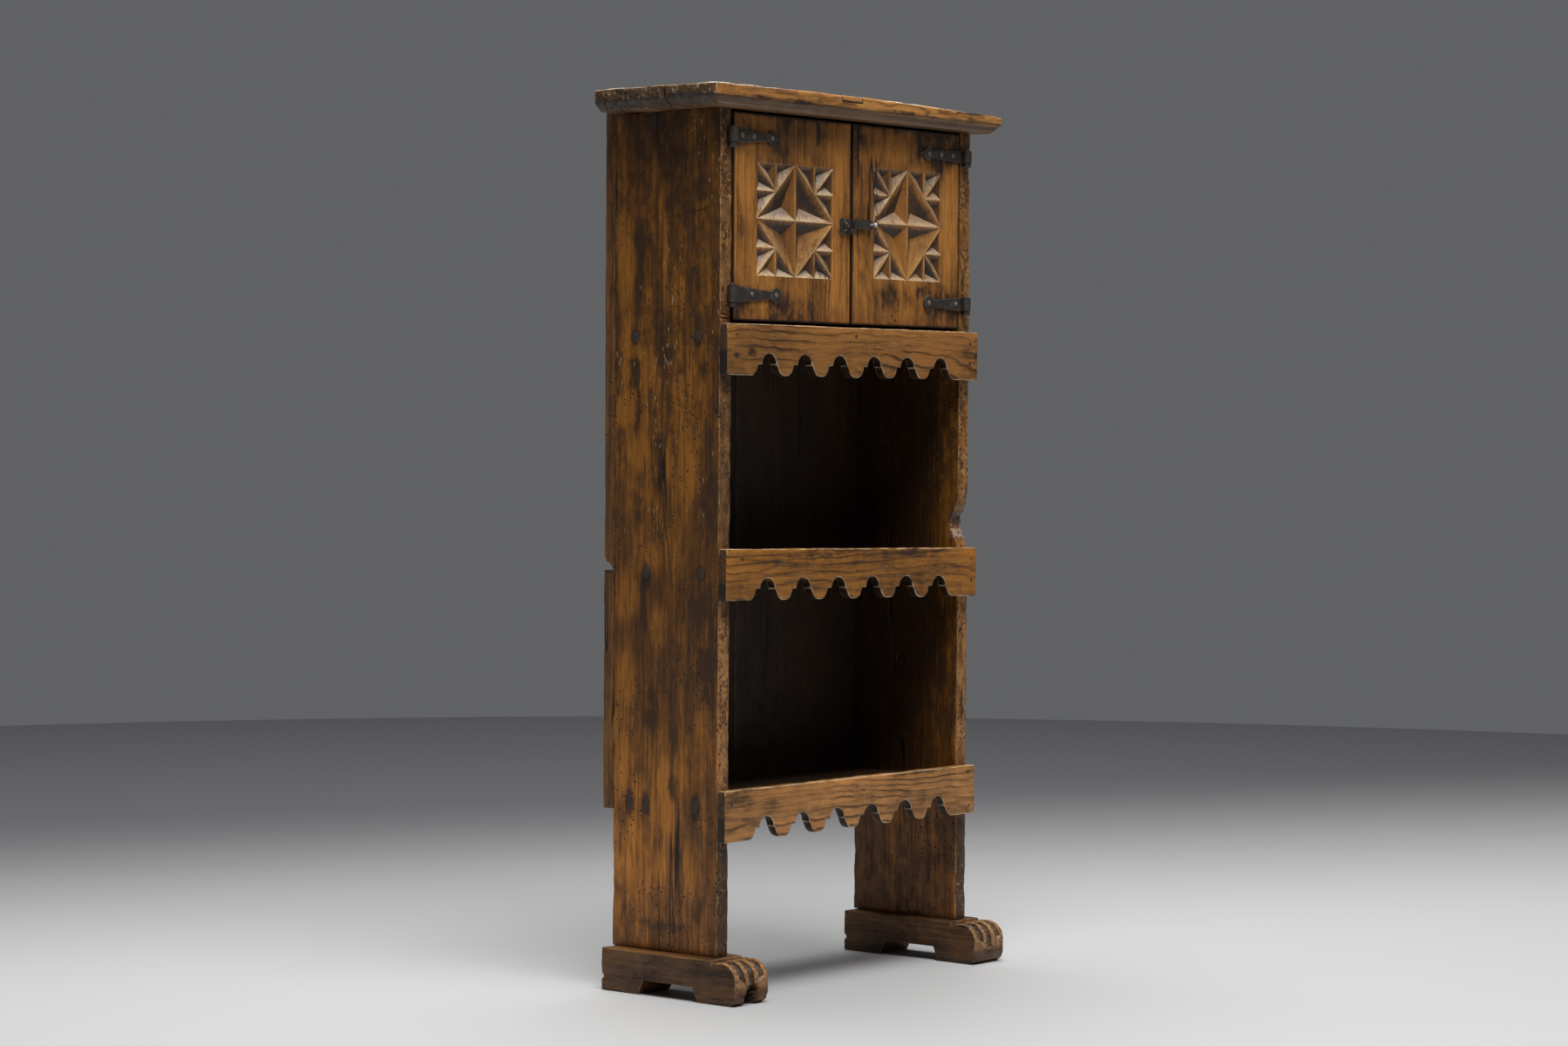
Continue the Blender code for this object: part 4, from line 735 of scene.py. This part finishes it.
seam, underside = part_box("top_rear_board")[0].y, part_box("top_rear_board")[0].z
patch_low, patch_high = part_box("top_edge_patch")
for number, node in enumerate(("top_front_board", "top_rear_board", "top_edge_patch")):
    low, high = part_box(node)
    is_patch = node == "top_edge_patch"
    notched = node == "top_front_board"

    def no_pale_arris(co):
        """The lower edges, which lie in shade, and the notch round the small piece get no paler arris colour."""
        by_patch = patch_low.x - 0.004 < co.x < patch_high.x + 0.004 and co.z > patch_low.z - 0.004
        return notched and by_patch or co.z < high.z - 0.006

    board = copied(node)
    soften(board, 0.0008 if is_patch else 0.0022, seam)
    dull(board, 0.0, no_pale_arris)
    if not is_patch:
        saw_across(board, (X, 0.011), (Y, 0.011), (Z, 0.006))
        weather(board, X, 0.0011, 0.0020, 20.0 + number)
        for vert in board.verts:
            if vert.co.x < low.x + 0.004:
                vert.co.x += 0.0022 * max(0.0, noise.noise(vert.co * 130) + 0.6 * noise.noise(vert.co * 420))

    def under_cut(colour, place, facing):
        """The under-cut is dull grey brown, and slate grey at the ends, whose sawn grain is rough and dark.
        Dirt lines the joint of the boards and the rim of the small piece."""
        pale_chip, break_dirt, streak = (0.40, 0.31, 0.21), (0.022, 0.014, 0.009), (0.36, 0.205, 0.095)
        rim_dirt, joint_dirt = (0.016, 0.010, 0.007), (0.012, 0.008, 0.006)
        across, depth, level = map(place.axis, (X, Y, Z))
        sideways = facing.axis(X).math("ABSOLUTE")
        under = facing.axis(Z).between(-0.15, -0.40)
        end = sideways.between(0.70, 0.92)
        grit = place.noise(260.0, 5.0, 0.75)
        chip = place.noise(120.0, 4.0, 0.7).between(0.54, 0.68)
        smear = place.scaled(0.12, 1.0, 1.0).noise(70.0, 5.0, 0.7)
        planed = place.scaled(0.010, 1.0, 1.0).noise(135.0, 3.0, 0.6)
        lit = (level + smear * 0.010).between(underside + 0.016, underside + 0.008)
        end_grain = grit.between(0.35, 0.7).mix((0.018, 0.012, 0.008), (0.105, 0.065, 0.036))
        slate = smear.between(0.4, 0.6).mix((0.016, 0.014, 0.013), (0.050, 0.044, 0.041))
        drab = (lit * 0.35 + planed.between(0.42, 0.60) * 0.65).mix(soot_black, (0.150, 0.089, 0.048))
        drab = drab.coated((planed.between(0.61, 0.67, 0.6), streak), (sideways.between(0.3, 0.6), slate))
        break_line = (level - (underside + 0.0145)).near(0.0022, 0.0006) * (chip * 0.5 + 0.4)
        colour = colour.coated(
            (end * 0.85, end_grain), (end * chip * 0.8, pale_chip), (under * (0.70 + grit * 0.3), drab),
            (break_line * (1.0 - end), break_dirt))
        off = (across - (patch_low.x + patch_high.x) / 2).math("ABSOLUTE") - (patch_high.x - patch_low.x) / 2
        if is_patch:
            rim = off.between(-0.0016, -0.0008).math("MAXIMUM", level.between(low.z + 0.0018, low.z + 0.0010))
            colour = (rim * 0.9).mix(colour, rim_dirt)
        if notched:
            rim = off.between(0.0020, 0.0010) * level.between(patch_low.z - 0.0022, patch_low.z - 0.0012)
            rim = rim * depth.between(patch_high.y + 0.003, patch_high.y + 0.002)
            colour = (rim * 0.9).mix(colour, rim_dirt)
        return ((depth - seam).near(0.0022, 0.0010) * 0.9).mix(colour, joint_dirt)

    spots = stains((-180, -36, 1402, 60, 30, 6, 40), (90, -36, 1403, 90, 30, 6, 35),
                   (-250, -36, 1404, 40, 30, 5, 45), (250, -36, 1404, 50, 30, 8, 30))
    # The top's near-white arris colour, at a high strength, paints a highlight along its upper edges over real
    # handling.
    wood = aged_wood(f"{node}_wood", X, low, high, 20.0 + number, gold=(0.58, 0.262, 0.069),
                     brown=(0.22, 0.095, 0.027), arris_wear_and_sheen=(0.80, 0.70, 0.57), stain=-0.58 if is_patch else -0.23,
                     rings=140.0, pith=(0.3, -0.25), figure=0.6, pits=0.4, arris_wear_and_sheen_strength=1.6, spots=spots,
                     tint=under_cut)
    piece(f"{node}_plank", board, wood, "carcass", [node])


# Wooden pegs
# Dark round pegs, whittled by hand, go through the sides into the ends of the shelves.
def rod(bm, stand, sides, low_radius, high_radius, bottom, top):
    """A round or tapered rod along the upright of a stand, between two heights."""
    bmesh.ops.create_cone(bm, cap_ends=True, segments=sides, radius1=low_radius, radius2=high_radius,
                          depth=top - bottom, matrix=stand @ Matrix.Translation((0, 0, (bottom + top) / 2)))


peg_radius, peg_oval, peg_half, peg_sunk = 0.0082, 1.28, 0.010, 0.0092
pegs = bmesh.new()
peg_nodes = [name for name in frame["nodes"] if "_peg_" in name]
for number, node in enumerate(peg_nodes):
    low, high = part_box(node)
    centre = (low + high) / 2
    centre.x = low.x + peg_sunk if low.x < middle - 0.3 else high.x - peg_sunk
    turn = Matrix.Rotation(math.pi / 2, 4, "Y") @ Matrix.Rotation(number * 0.7, 4, "Z")
    stand = Matrix.Translation(centre) @ Matrix.Diagonal((1, 1, peg_oval, 1)) @ turn
    rod(pegs, stand, 11, peg_radius, peg_radius, -peg_half, peg_half)
soften(pegs, 0.0014)
weather(pegs, X, 0.0007, 0.0006, 26.0)
peg_finish, peg_shader, peg_place = new_material("peg_end_grain")
peg_grain = peg_place.noise(420.0, 4.0, 0.7)
peg_end = peg_grain.between(0.35, 0.7).mix((0.013, 0.008, 0.005), (0.072, 0.040, 0.020))
(peg_place.arris_mark() * 0.9).mix(peg_end, (0.008, 0.006, 0.004)).feed(peg_shader, "Base Color")
(0.55 + peg_grain * 0.2).feed(peg_shader, "Roughness")
peg_grain.emboss(peg_shader, 0.7, 0.0006)
piece("shelf_pegs", pegs, peg_finish, "carcass", peg_nodes)


# Carved doors
# Each door is one golden board. A star of eight rays is chip carved in it: a deep three-sided pocket in each
# quarter of a diamond, and four small ones in each corner, with thin worn ridges left standing between them.
def carved_door(low, high, panel_low, panel_high, seed):
    """A door board with the star cut into its front between two corners (x and z)."""
    deep_cut, small_cut, ridge = 0.0118, 0.0080, 0.0006
    heart, reach = (panel_low + panel_high) / 2, (panel_high - panel_low) / 2

    def in_panel(co):
        return panel_low.x < co.x < panel_high.x and panel_low.z < co.z < panel_high.z

    # The front face gives way to a grid of points, with four plain faces from its rim to the board's
    board = sawn_board(low, high, 0.0014)
    face = min(board.faces, key=lambda item: item.calc_center_median().y)
    rim = {(vert.co.x > (low.x + high.x) / 2, vert.co.z > (low.z + high.z) / 2): vert for vert in face.verts}
    bmesh.ops.delete(board, geom=[face], context="FACES_ONLY")
    steps = (-1, -0.5, 0, 0.5, 1)
    points = {(u, v): board.verts.new((heart.x + u * reach.x, low.y, heart.z + v * reach.z))
              for u in steps for v in steps if max(abs(u), abs(v)) == 1 or abs(u) == abs(v)}
    for far in (False, True):
        level = 1 if far else -1
        board.faces.new([rim[False, far], rim[True, far]] + [points[-u, level] for u in steps])
        board.faces.new([rim[far, False], rim[far, True]] + [points[level, -v] for v in steps])
    plain = list(board.faces)

    # Each quarter has one large chip and four small ones
    chips = []
    for u in (-1, 1):
        for v in (-1, 1):
            elbow = points[0.5 * u, 0.5 * v]
            chips.append((board.faces.new([points[0, 0], points[0, v], elbow, points[u, 0]]), deep_cut))
            edge = [points[spot] for spot in ((0, v), (0.5 * u, v), (u, v), (u, 0.5 * v), (u, 0))]
            chips += [(board.faces.new([a, b, elbow]), small_cut) for a, b in zip(edge, edge[1:])]
    bmesh.ops.recalc_face_normals(board, faces=board.faces)
    bmesh.ops.inset_individual(board, faces=[chip for chip, _ in chips], thickness=ridge,
                               use_even_offset=True)
    for chip, depth in chips:
        tips = [vert.co.copy() for vert in chip.verts]
        large = len(tips) == 4
        if large:
            # The corner that lies in a straight line with its neighbours isn't a tip
            ways = [(tip - tips[k - 1]).normalized() for k, tip in enumerate(tips)]
            tips.pop(min(range(4), key=lambda k: abs(ways[k].dot(ways[(k + 1) % 4]) - 1)))
        sides = [(tips[(k + 1) % 3] - tips[(k + 2) % 3]).length for k in range(3)]
        deepest = sum((tip * side for tip, side in zip(tips, sides)), Vector()) / sum(sides)
        if large:
            deepest = heart + 0.80 * (deepest - heart)
        made = bmesh.ops.poke(board, faces=[chip], offset=0.0, center_mode="MEAN")["verts"][0]
        made.co = deepest + Vector((0, depth, 0))

    # The cut faces get finer and their ridges are chipped
    carved = [item for item in board.faces if item not in plain
              and in_panel(spot := item.calc_center_median()) and abs(spot.y - low.y) < 0.0122]
    cut_edges = list({edge for item in carved for edge in item.edges})
    bmesh.ops.subdivide_edges(board, edges=cut_edges, cuts=4, use_grid_fill=True)
    weather(board, Z, 0.0005, 0.0006, seed)
    for vert in board.verts:
        depth = vert.co.y - low.y
        if in_panel(vert.co) and depth < 0.012:
            chipped = noise.noise(vert.co * 75 + Vector((seed, 0, 0))) + 0.5 * noise.noise(vert.co * 300)
            vert.co.y += 0.0016 * max(0.0, chipped - 0.15) if depth < 0.002 else 0.0005 * chipped
    return board


# Each door's stains by their place across and up, reach each way and strength in hundredths
# The wide rows at 1390 along each door's top are painted shadow under the top's overhang, with some grime.
left_marks = ((-270, 1352, 50, 50, 34), (-255, 1100, 70, 30, 26), (-20, 1215, 20, 100, 18),
              (-85, 1365, 8, 30, 60), (-275, 1215, 15, 90, 30), (-140, 1390, 300, 22, 28),
              (-200, 1070, 200, 45, 30), (-180, 1335, 30, 30, 15), (-262, 1275, 20, 60, -35),
              (-24, 1290, 20, 60, -30))
right_marks = ((230, 1350, 100, 45, 48), (20, 1380, 30, 100, 34), (30, 1180, 20, 100, 20),
               (110, 1105, 80, 30, 26), (250, 1100, 50, 40, 34), (150, 1390, 300, 25, 34),
               (25, 1215, 20, 20, 34), (190, 1120, 30, 15, 30), (264, 1225, 32, 130, -60),
               (120, 1345, 50, 30, -30))
for number, (node, panel_low, panel_high, marks) in enumerate((
        ("left_door", here(-233, 0, 1129), here(-43, 0, 1307), left_marks),
        ("right_door", here(59, 0, 1134), here(239, 0, 1315), right_marks))):
    low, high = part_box(node)
    board = carved_door(low, high, panel_low, panel_high, 30.0 + number)
    dull(board, 0.0, lambda co: min(co.x - low.x, high.x - co.x) < 0.003)
    mid, half = (panel_low + panel_high) / 2, (panel_high - panel_low) / 2

    def shaded_grimy_cuts(colour, place, facing):
        """Painted shade darkens the cuts that face down or to the right, away from the light, over some dirt deep
        in them, and the cuts that face left are painted dimmer. Upturned faces are painted golden and pale as
        painted light and sheen, with some dust, and the ridges are paler from handling. Painted shade in the gaps
        round the board, over old grime, darkens its edges."""
        left_facing_shade, corner_shade, cut_shade_and_dirt = (0.130, 0.056, 0.017), (0.030, 0.019, 0.013), (0.016, 0.011, 0.008)
        speck, rubbed_ridge, gap_shade_and_edge_grime = (0.030, 0.021, 0.015), (0.50, 0.33, 0.16), (0.018, 0.012, 0.008)
        across, upward = map(place.less(mid).vector("ABSOLUTE").axis, (X, Z))
        rightward, skyward = map(facing.axis, (X, Z))
        inside = across.between(half.x + 0.0005, half.x - 0.0005)
        inside = inside * upward.between(half.z + 0.0005, half.z - 0.0005)
        depth = place.axis(Y) - low.y
        mottle = place.noise(85.0, 5.0, 0.7)
        scratch = place.noise(330.0, 4.0, 0.7).between(0.36, 0.56)
        # Painted light and shade: cuts facing down or right are darkened, those facing left dimmed, upturned ones
        # paler.
        shadow = (rightward * 0.28 - skyward).between(0.02, 0.19)
        dirt = inside * (depth + mottle * 0.006 - 0.003).between(0.0003, 0.0050) * shadow
        warm = inside * skyward.between(0.08, 0.20) * mottle.between(0.28, 0.52) * scratch
        pale = inside * skyward.between(0.26, 0.44) * mottle.between(0.26, 0.50)
        ridge = inside * (depth + mottle * 0.0022 - 0.0008).between(0.0014, 0.0002)
        leftward = inside * rightward.between(-0.18, -0.40) * depth.between(0.0008, 0.0030)
        corner = (across * (1 / half.x) + upward * (1 / half.z)).between(0.99, 1.03)
        corner = corner * place.axis(X).between(mid.x - 0.002, mid.x + 0.002)
        specks = inside * place.noise(390.0, 5.0, 0.75).between(0.56, 0.66) * mottle.between(0.62, 0.40)
        rim = across.between(half.x - 0.003, half.x - 0.001) + upward.between(half.z - 0.003, half.z - 0.001)
        shallow = (depth + mottle * 0.005 - 0.0025).between(0.0064, 0.0010)
        lit_golden_wood = shallow.mix((0.26, 0.155, 0.072), (0.60, 0.37, 0.15))
        sheen_and_dust_wood = shallow.mix((0.34, 0.300, 0.270), (0.66, 0.535, 0.375))
        # Painted shade in the gaps round the door, over old grime along its edges.
        beyond = place.less((low + high) / 2).vector("ABSOLUTE").less((high - low) / 2)
        grime = (beyond.axis(X) + mottle * 0.002).between(-0.0022, -0.0004)
        grime = grime + (beyond.axis(Z) + mottle * 0.003).between(-0.0030, -0.0005)
        return colour.coated(
            (leftward * (mottle * 0.6 + 0.12), left_facing_shade), (leftward * corner * 0.75, corner_shade),
            (dirt * (scratch * 0.10 + 0.86), cut_shade_and_dirt), (warm * (0.45 - 0.18 * number), lit_golden_wood),
            (pale * (scratch * 0.34 + 0.34 - 0.13 * number), sheen_and_dust_wood), (specks * 0.80, speck),
            (ridge * (1.0 - rim * 0.6) * 0.55, rubbed_ridge), (grime.at_most(0.88), gap_shade_and_edge_grime))

    spots = stains(*[(x, 0, z, wide, 50, tall, strength) for x, z, wide, tall, strength in marks])
    wood = aged_wood(f"{node}_wood", Z, low, high, 30.0 + number, gold=(0.51, 0.213, 0.043),
                     brown=(0.20, 0.079, 0.018), arris_wear_and_sheen=(0.46, 0.28, 0.12), stain=-0.18, clouds=0.62,
                     streaks=0.16, rings=95.0, pith=(0.05, -0.5), figure=0.45, pits=0.3, arris_wear_and_sheen_strength=0.5,
                     spots=spots, stray=0.03, gloss=0.38, tint=shaded_grimy_cuts)
    piece(f"{node}_board", board, wood, node, [node], crease=14)


# Strap hinges
# A smith forged each strap from a flat bar: it tapers from a rolled eye to a disc, two of them with a spear
# tip, and hangs on a pintle driven into the side. The iron is black and hammered, and its edges are paler
# from handling and a painted sheen.
def forged_iron(name, seed, sheen=1.0, edge=(0.34, 0.305, 0.27)):
    """Black forged iron with hammer marks, brown rust in its hollows, and paler edges from handling and a painted
    sheen.
    """
    material, shader, place = new_material(name)
    rust_brown = (0.060, 0.036, 0.022)
    tones = (0.024, 0.020, 0.017), (0.080, 0.068, 0.058)
    dark, light = [[share * sheen for share in tone] for tone in tones]
    moved = place.vector("ADD", (seed, seed * 0.7, seed * 1.3))
    hammer = moved.noise(170.0, 2.0, 0.5)
    scale = moved.noise(900.0, 4.0, 0.7)
    rust = moved.noise(60.0, 4.0, 0.65).between(0.48, 0.68)
    arris_wear_and_sheen_mask = place.arris_mark() * moved.noise(90.0).between(0.35, 0.6)
    colour = scale.between(0.3, 0.75).mix(dark, light).coated((rust * 0.55, rust_brown), (arris_wear_and_sheen_mask * 0.8, edge))
    colour.feed(shader, "Base Color")
    (0.42 + scale * 0.22 + rust * 0.12 - arris_wear_and_sheen_mask * 0.12).feed(shader, "Roughness")
    (0.55 - rust * 0.4 + arris_wear_and_sheen_mask * 0.3).feed(shader, "Metallic")
    (hammer * 0.55 + scale * 0.16 - rust * 0.1).emboss(shader, 0.8, 0.001)
    return material


def to_front(place):
    """A stand at a place whose upright points to the front."""
    return Matrix.Translation(place) @ Matrix.Rotation(math.pi / 2, 4, "X")


axes = {joint["child"]: Vector(joint["pos_m"]) for joint in frame["joints"]}
iron = forged_iron("hinge_iron", 0.0)
leaf_back, leaf_thickness, disc_half = front - 0.0003, 0.0030, 0.0017
eye_inner, eye_outer, pin_radius, collar_radius, spike_half = 0.0047, 0.0077, 0.0036, 0.0065, 0.0031
for word, hand, level, eye, neck, disc_reach, disc, tip in (
        ("left", -1, "upper", 0.024, 0.0115, 0.099, 0.0110, 0.024),
        ("left", -1, "lower", 0.027, 0.0125, 0.111, 0.0120, 0.0),
        ("right", 1, "upper", 0.020, 0.0140, 0.097, 0.0110, 0.025),
        ("right", 1, "lower", 0.022, 0.0110, 0.095, 0.0128, 0.0)):
    low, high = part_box(f"{word}_{level}_strap")
    hinge = Vector((axes[f"{word}_door"].x, axes[f"{word}_door"].y, (low.z + high.z) / 2))
    upper_edge = [(0.0045, eye / 2), (0.012, eye / 2), (0.020, eye / 2 * 0.93),
                  (disc_reach - disc * 0.75, neck / 2)]
    outlines = [upper_edge + [(reach, -rise) for reach, rise in reversed(upper_edge)]]
    if tip:
        shoulder = disc_reach + disc * 0.3
        outlines.append([(shoulder, disc * 0.80), (disc_reach + tip, 0.0), (shoulder, -disc * 0.80)])
    leaf = bmesh.new()
    for outline in outlines:
        corners = [leaf.verts.new((hinge.x - hand * reach, leaf_back, hinge.z + rise))
                   for reach, rise in outline]
        draw_out(leaf, corners, (0, -leaf_thickness, 0))
    disc_stand = to_front((hinge.x - hand * disc_reach, leaf_back - disc_half, hinge.z))
    rod(leaf, disc_stand, 22, disc, disc, -disc_half, disc_half)
    bmesh.ops.recalc_face_normals(leaf, faces=leaf.faces)
    soften(leaf, 0.0008)
    saw_across(leaf, (X, 0.004), (Z, 0.004))
    # The eye is a square section turned about the pin
    section = [(eye_inner, eye / 2), (eye_outer, eye / 2), (eye_outer, -eye / 2), (eye_inner, -eye / 2)]
    before = set(leaf.verts)
    chain = [leaf.verts.new(hinge + Vector((radius, 0, rise))) for radius, rise in section + section[:1]]
    bars = [leaf.edges.new(pair) for pair in zip(chain, chain[1:])]
    bmesh.ops.spin(leaf, geom=chain + bars, axis=(0, 0, 1), cent=hinge, angle=2 * math.pi, steps=24,
                   use_merge=True)
    rolled = [vert for vert in leaf.verts if vert not in before]
    bmesh.ops.remove_doubles(leaf, verts=rolled, dist=1e-6)
    bmesh.ops.recalc_face_normals(leaf, faces=leaf.faces)
    weather(leaf, X, 0.0004, 0.0004, 40.0 + disc_reach * 100 + hand)
    piece(f"{word}_{level}_strap_iron", leaf, iron, f"{word}_door", [f"{word}_{level}_strap"])

    pin = bmesh.new()
    collar_top = hinge.z - eye / 2 - 0.0003
    for radius, bottom, top in ((pin_radius, collar_top - 0.002, hinge.z + eye / 2 + 0.002),
                                (collar_radius, collar_top - 0.007, collar_top)):
        rod(pin, Matrix.Translation((hinge.x, hinge.y, 0)), 18, radius, radius, bottom, top)
    spike = block(pin, (hinge.x - spike_half, hinge.y, collar_top - 0.0066),
                  (hinge.x + spike_half, front + 0.042, collar_top - 0.0004))
    bmesh.ops.scale(pin, vec=(0.5, 1, 0.5), verts=[vert for vert in spike if vert.co.y > front],
                    space=Matrix.Translation((-hinge.x, 0, 0.0035 - collar_top)))
    soften(pin, 0.0006)
    weather(pin, Z, 0.0002, 0.0002, 45.0 + disc_reach * 100)
    piece(f"{word}_{level}_pintle_iron", pin, iron, "carcass", [f"{word}_{level}_pintle"])


# Nails
# Hand-forged nails: rose heads with hammered faces hold the straps and the keeper, and small flat heads sit
# flush in the aprons.
def rose_head(bm, place, radius, rise, turn):
    """A low hammered head with its shank behind it, facing the front."""
    stand = to_front(place) @ Matrix.Rotation(turn, 4, "Z")
    rim, rim_radius, shank, shank_length = rise * 0.3, radius * 0.92, 0.0018, 0.008
    rod(bm, stand, 9, radius, rim_radius, 0.0, rim)
    rod(bm, stand, 9, rim_radius, radius * 0.25, rim, rise)
    rod(bm, stand, 4, shank, shank, -shank_length, 0.0)


# Painted glint: the nail heads' iron is 3.2 times paler than the straps', so that the hammered heads shine.
nail_iron = forged_iron("nail_head_iron", 2.0, 3.2)
strap_nail, keeper_nail, head_rise = 0.0046, 0.0030, 0.0027
for body in ("left_door", "right_door"):
    body_nodes = frame["record"]["behaviour"]["bodies"][body]
    nodes = [name for name in frame["nodes"] if "_nail" in name and name in body_nodes]
    heads = bmesh.new()
    for number, node in enumerate(sorted(nodes)):
        low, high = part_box(node)
        place = ((low.x + high.x) / 2, low.y + 0.0024, (low.z + high.z) / 2)
        rose_head(heads, place, strap_nail if "strap" in node else keeper_nail, head_rise, number * 1.1)
    weather(heads, X, 0.0003, 0.0003, 50.0)
    piece(f"{body}_rose_nails", heads, nail_iron, body, nodes, crease=20)

flush = bmesh.new()
for number, (x, z) in enumerate((
        (-297, 1036), (-4, 1039), (298, 1033), (298, 1000), (-282, 687), (3, 662), (305, 673), (306, 639),
        (-304, 307), (4, 305), (301, 318), (303, 261))):
    rose_head(flush, here(x, -17.2, z), 0.0030, 0.0008, number * 0.8)
weather(flush, X, 0.0002, 0.0002, 51.0)
piece("apron_nails", flush, forged_iron("rusty_nail_iron", 3.0), "carcass", crease=20)


# Latch
# A flat bar turns on a headed pin in the right door and drops behind the turned-up lip of a keeper, a knotted
# bit of bent iron that is nailed to the left door.
pivot = axes["latch_hook"]
# Painted highlight: the latch iron's edge colour is paler still, a bright line along the bar's rounded top over
# bare iron.
latch_iron = forged_iron("latch_iron", 5.0, edge=(0.62, 0.54, 0.46))
bar = copied("latch_hook")
soften(bar, 0.0010)
saw_across(bar, (X, 0.003))
weather(bar, X, 0.0003, 0.0003, 60.0)
piece("latch_hook_bar", bar, latch_iron, "latch_hook", ["latch_hook"])

# The pin, its washer and its head, as radii at the lower and upper ends and the heights of these ends
pin = bmesh.new()
for radius, tip_radius, bottom, top in ((0.0024, 0.0024, -0.012, 0.0150), (0.0052, 0.0046, 0.0003, 0.0024),
                                        (0.0034, 0.0036, 0.0136, 0.0165), (0.0036, 0.0020, 0.0165, 0.0180)):
    rod(pin, to_front((pivot.x, front, pivot.z)), 16, radius, tip_radius, bottom, top)
weather(pin, Y, 0.0002, 0.0002, 61.0)
# The pin is painted pale: bare iron with a painted highlight along it.
bright, bright_shader, bright_place = new_material("bare_iron_with_painted_glint")
bright_shader.inputs["Metallic"].default_value = 0.55
bright_place.noise(500.0, 4.0).mix((0.44, 0.41, 0.38), (0.74, 0.70, 0.65)).feed(bright_shader, "Base Color")
(0.26 + bright_place.noise(700.0) * 0.2).feed(bright_shader, "Roughness")
piece("latch_pin_iron", pin, bright, "right_door", ["latch_pin"])

keeper = copied("latch_keeper")
soften(keeper, 0.0009)
saw_across(keeper, (X, 0.002), (Z, 0.002))
weather(keeper, X, 0.0011, 0.0008, 62.0)
# The rod that the smith beat the keeper from is curled round the nail and back along the foot of the plate
rod_radius = 0.0021
low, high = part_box("latch_keeper_nail")
hub = Vector(((low.x + high.x) / 2, front - 0.0040, (low.z + high.z) / 2))
for centre, bend, start, sweep in ((hub, 0.0066, 0.35, 4.1),
                                   (hub + Vector((-0.001, 0, -0.0145)), 0.0045, 2.6, 3.6)):
    turn = Matrix.Translation(centre) @ Matrix.Rotation(start, 4, "Y") @ Matrix.Translation((bend, 0, 0))
    ring = bmesh.ops.create_circle(keeper, segments=9, radius=rod_radius, matrix=turn)["verts"]
    loop = list({edge for vert in ring for edge in vert.link_edges})
    bent = bmesh.ops.spin(keeper, geom=ring + loop, cent=centre, axis=(0, 1, 0), angle=sweep, steps=16)
    last = [item for item in bent["geom_last"] if isinstance(item, bmesh.types.BMEdge)]
    for edges in (loop, last):
        bmesh.ops.edgeloop_fill(keeper, edges=edges)
bmesh.ops.recalc_face_normals(keeper, faces=keeper.faces)
piece("latch_keeper_iron", keeper, latch_iron, "left_door", ["latch_keeper"])
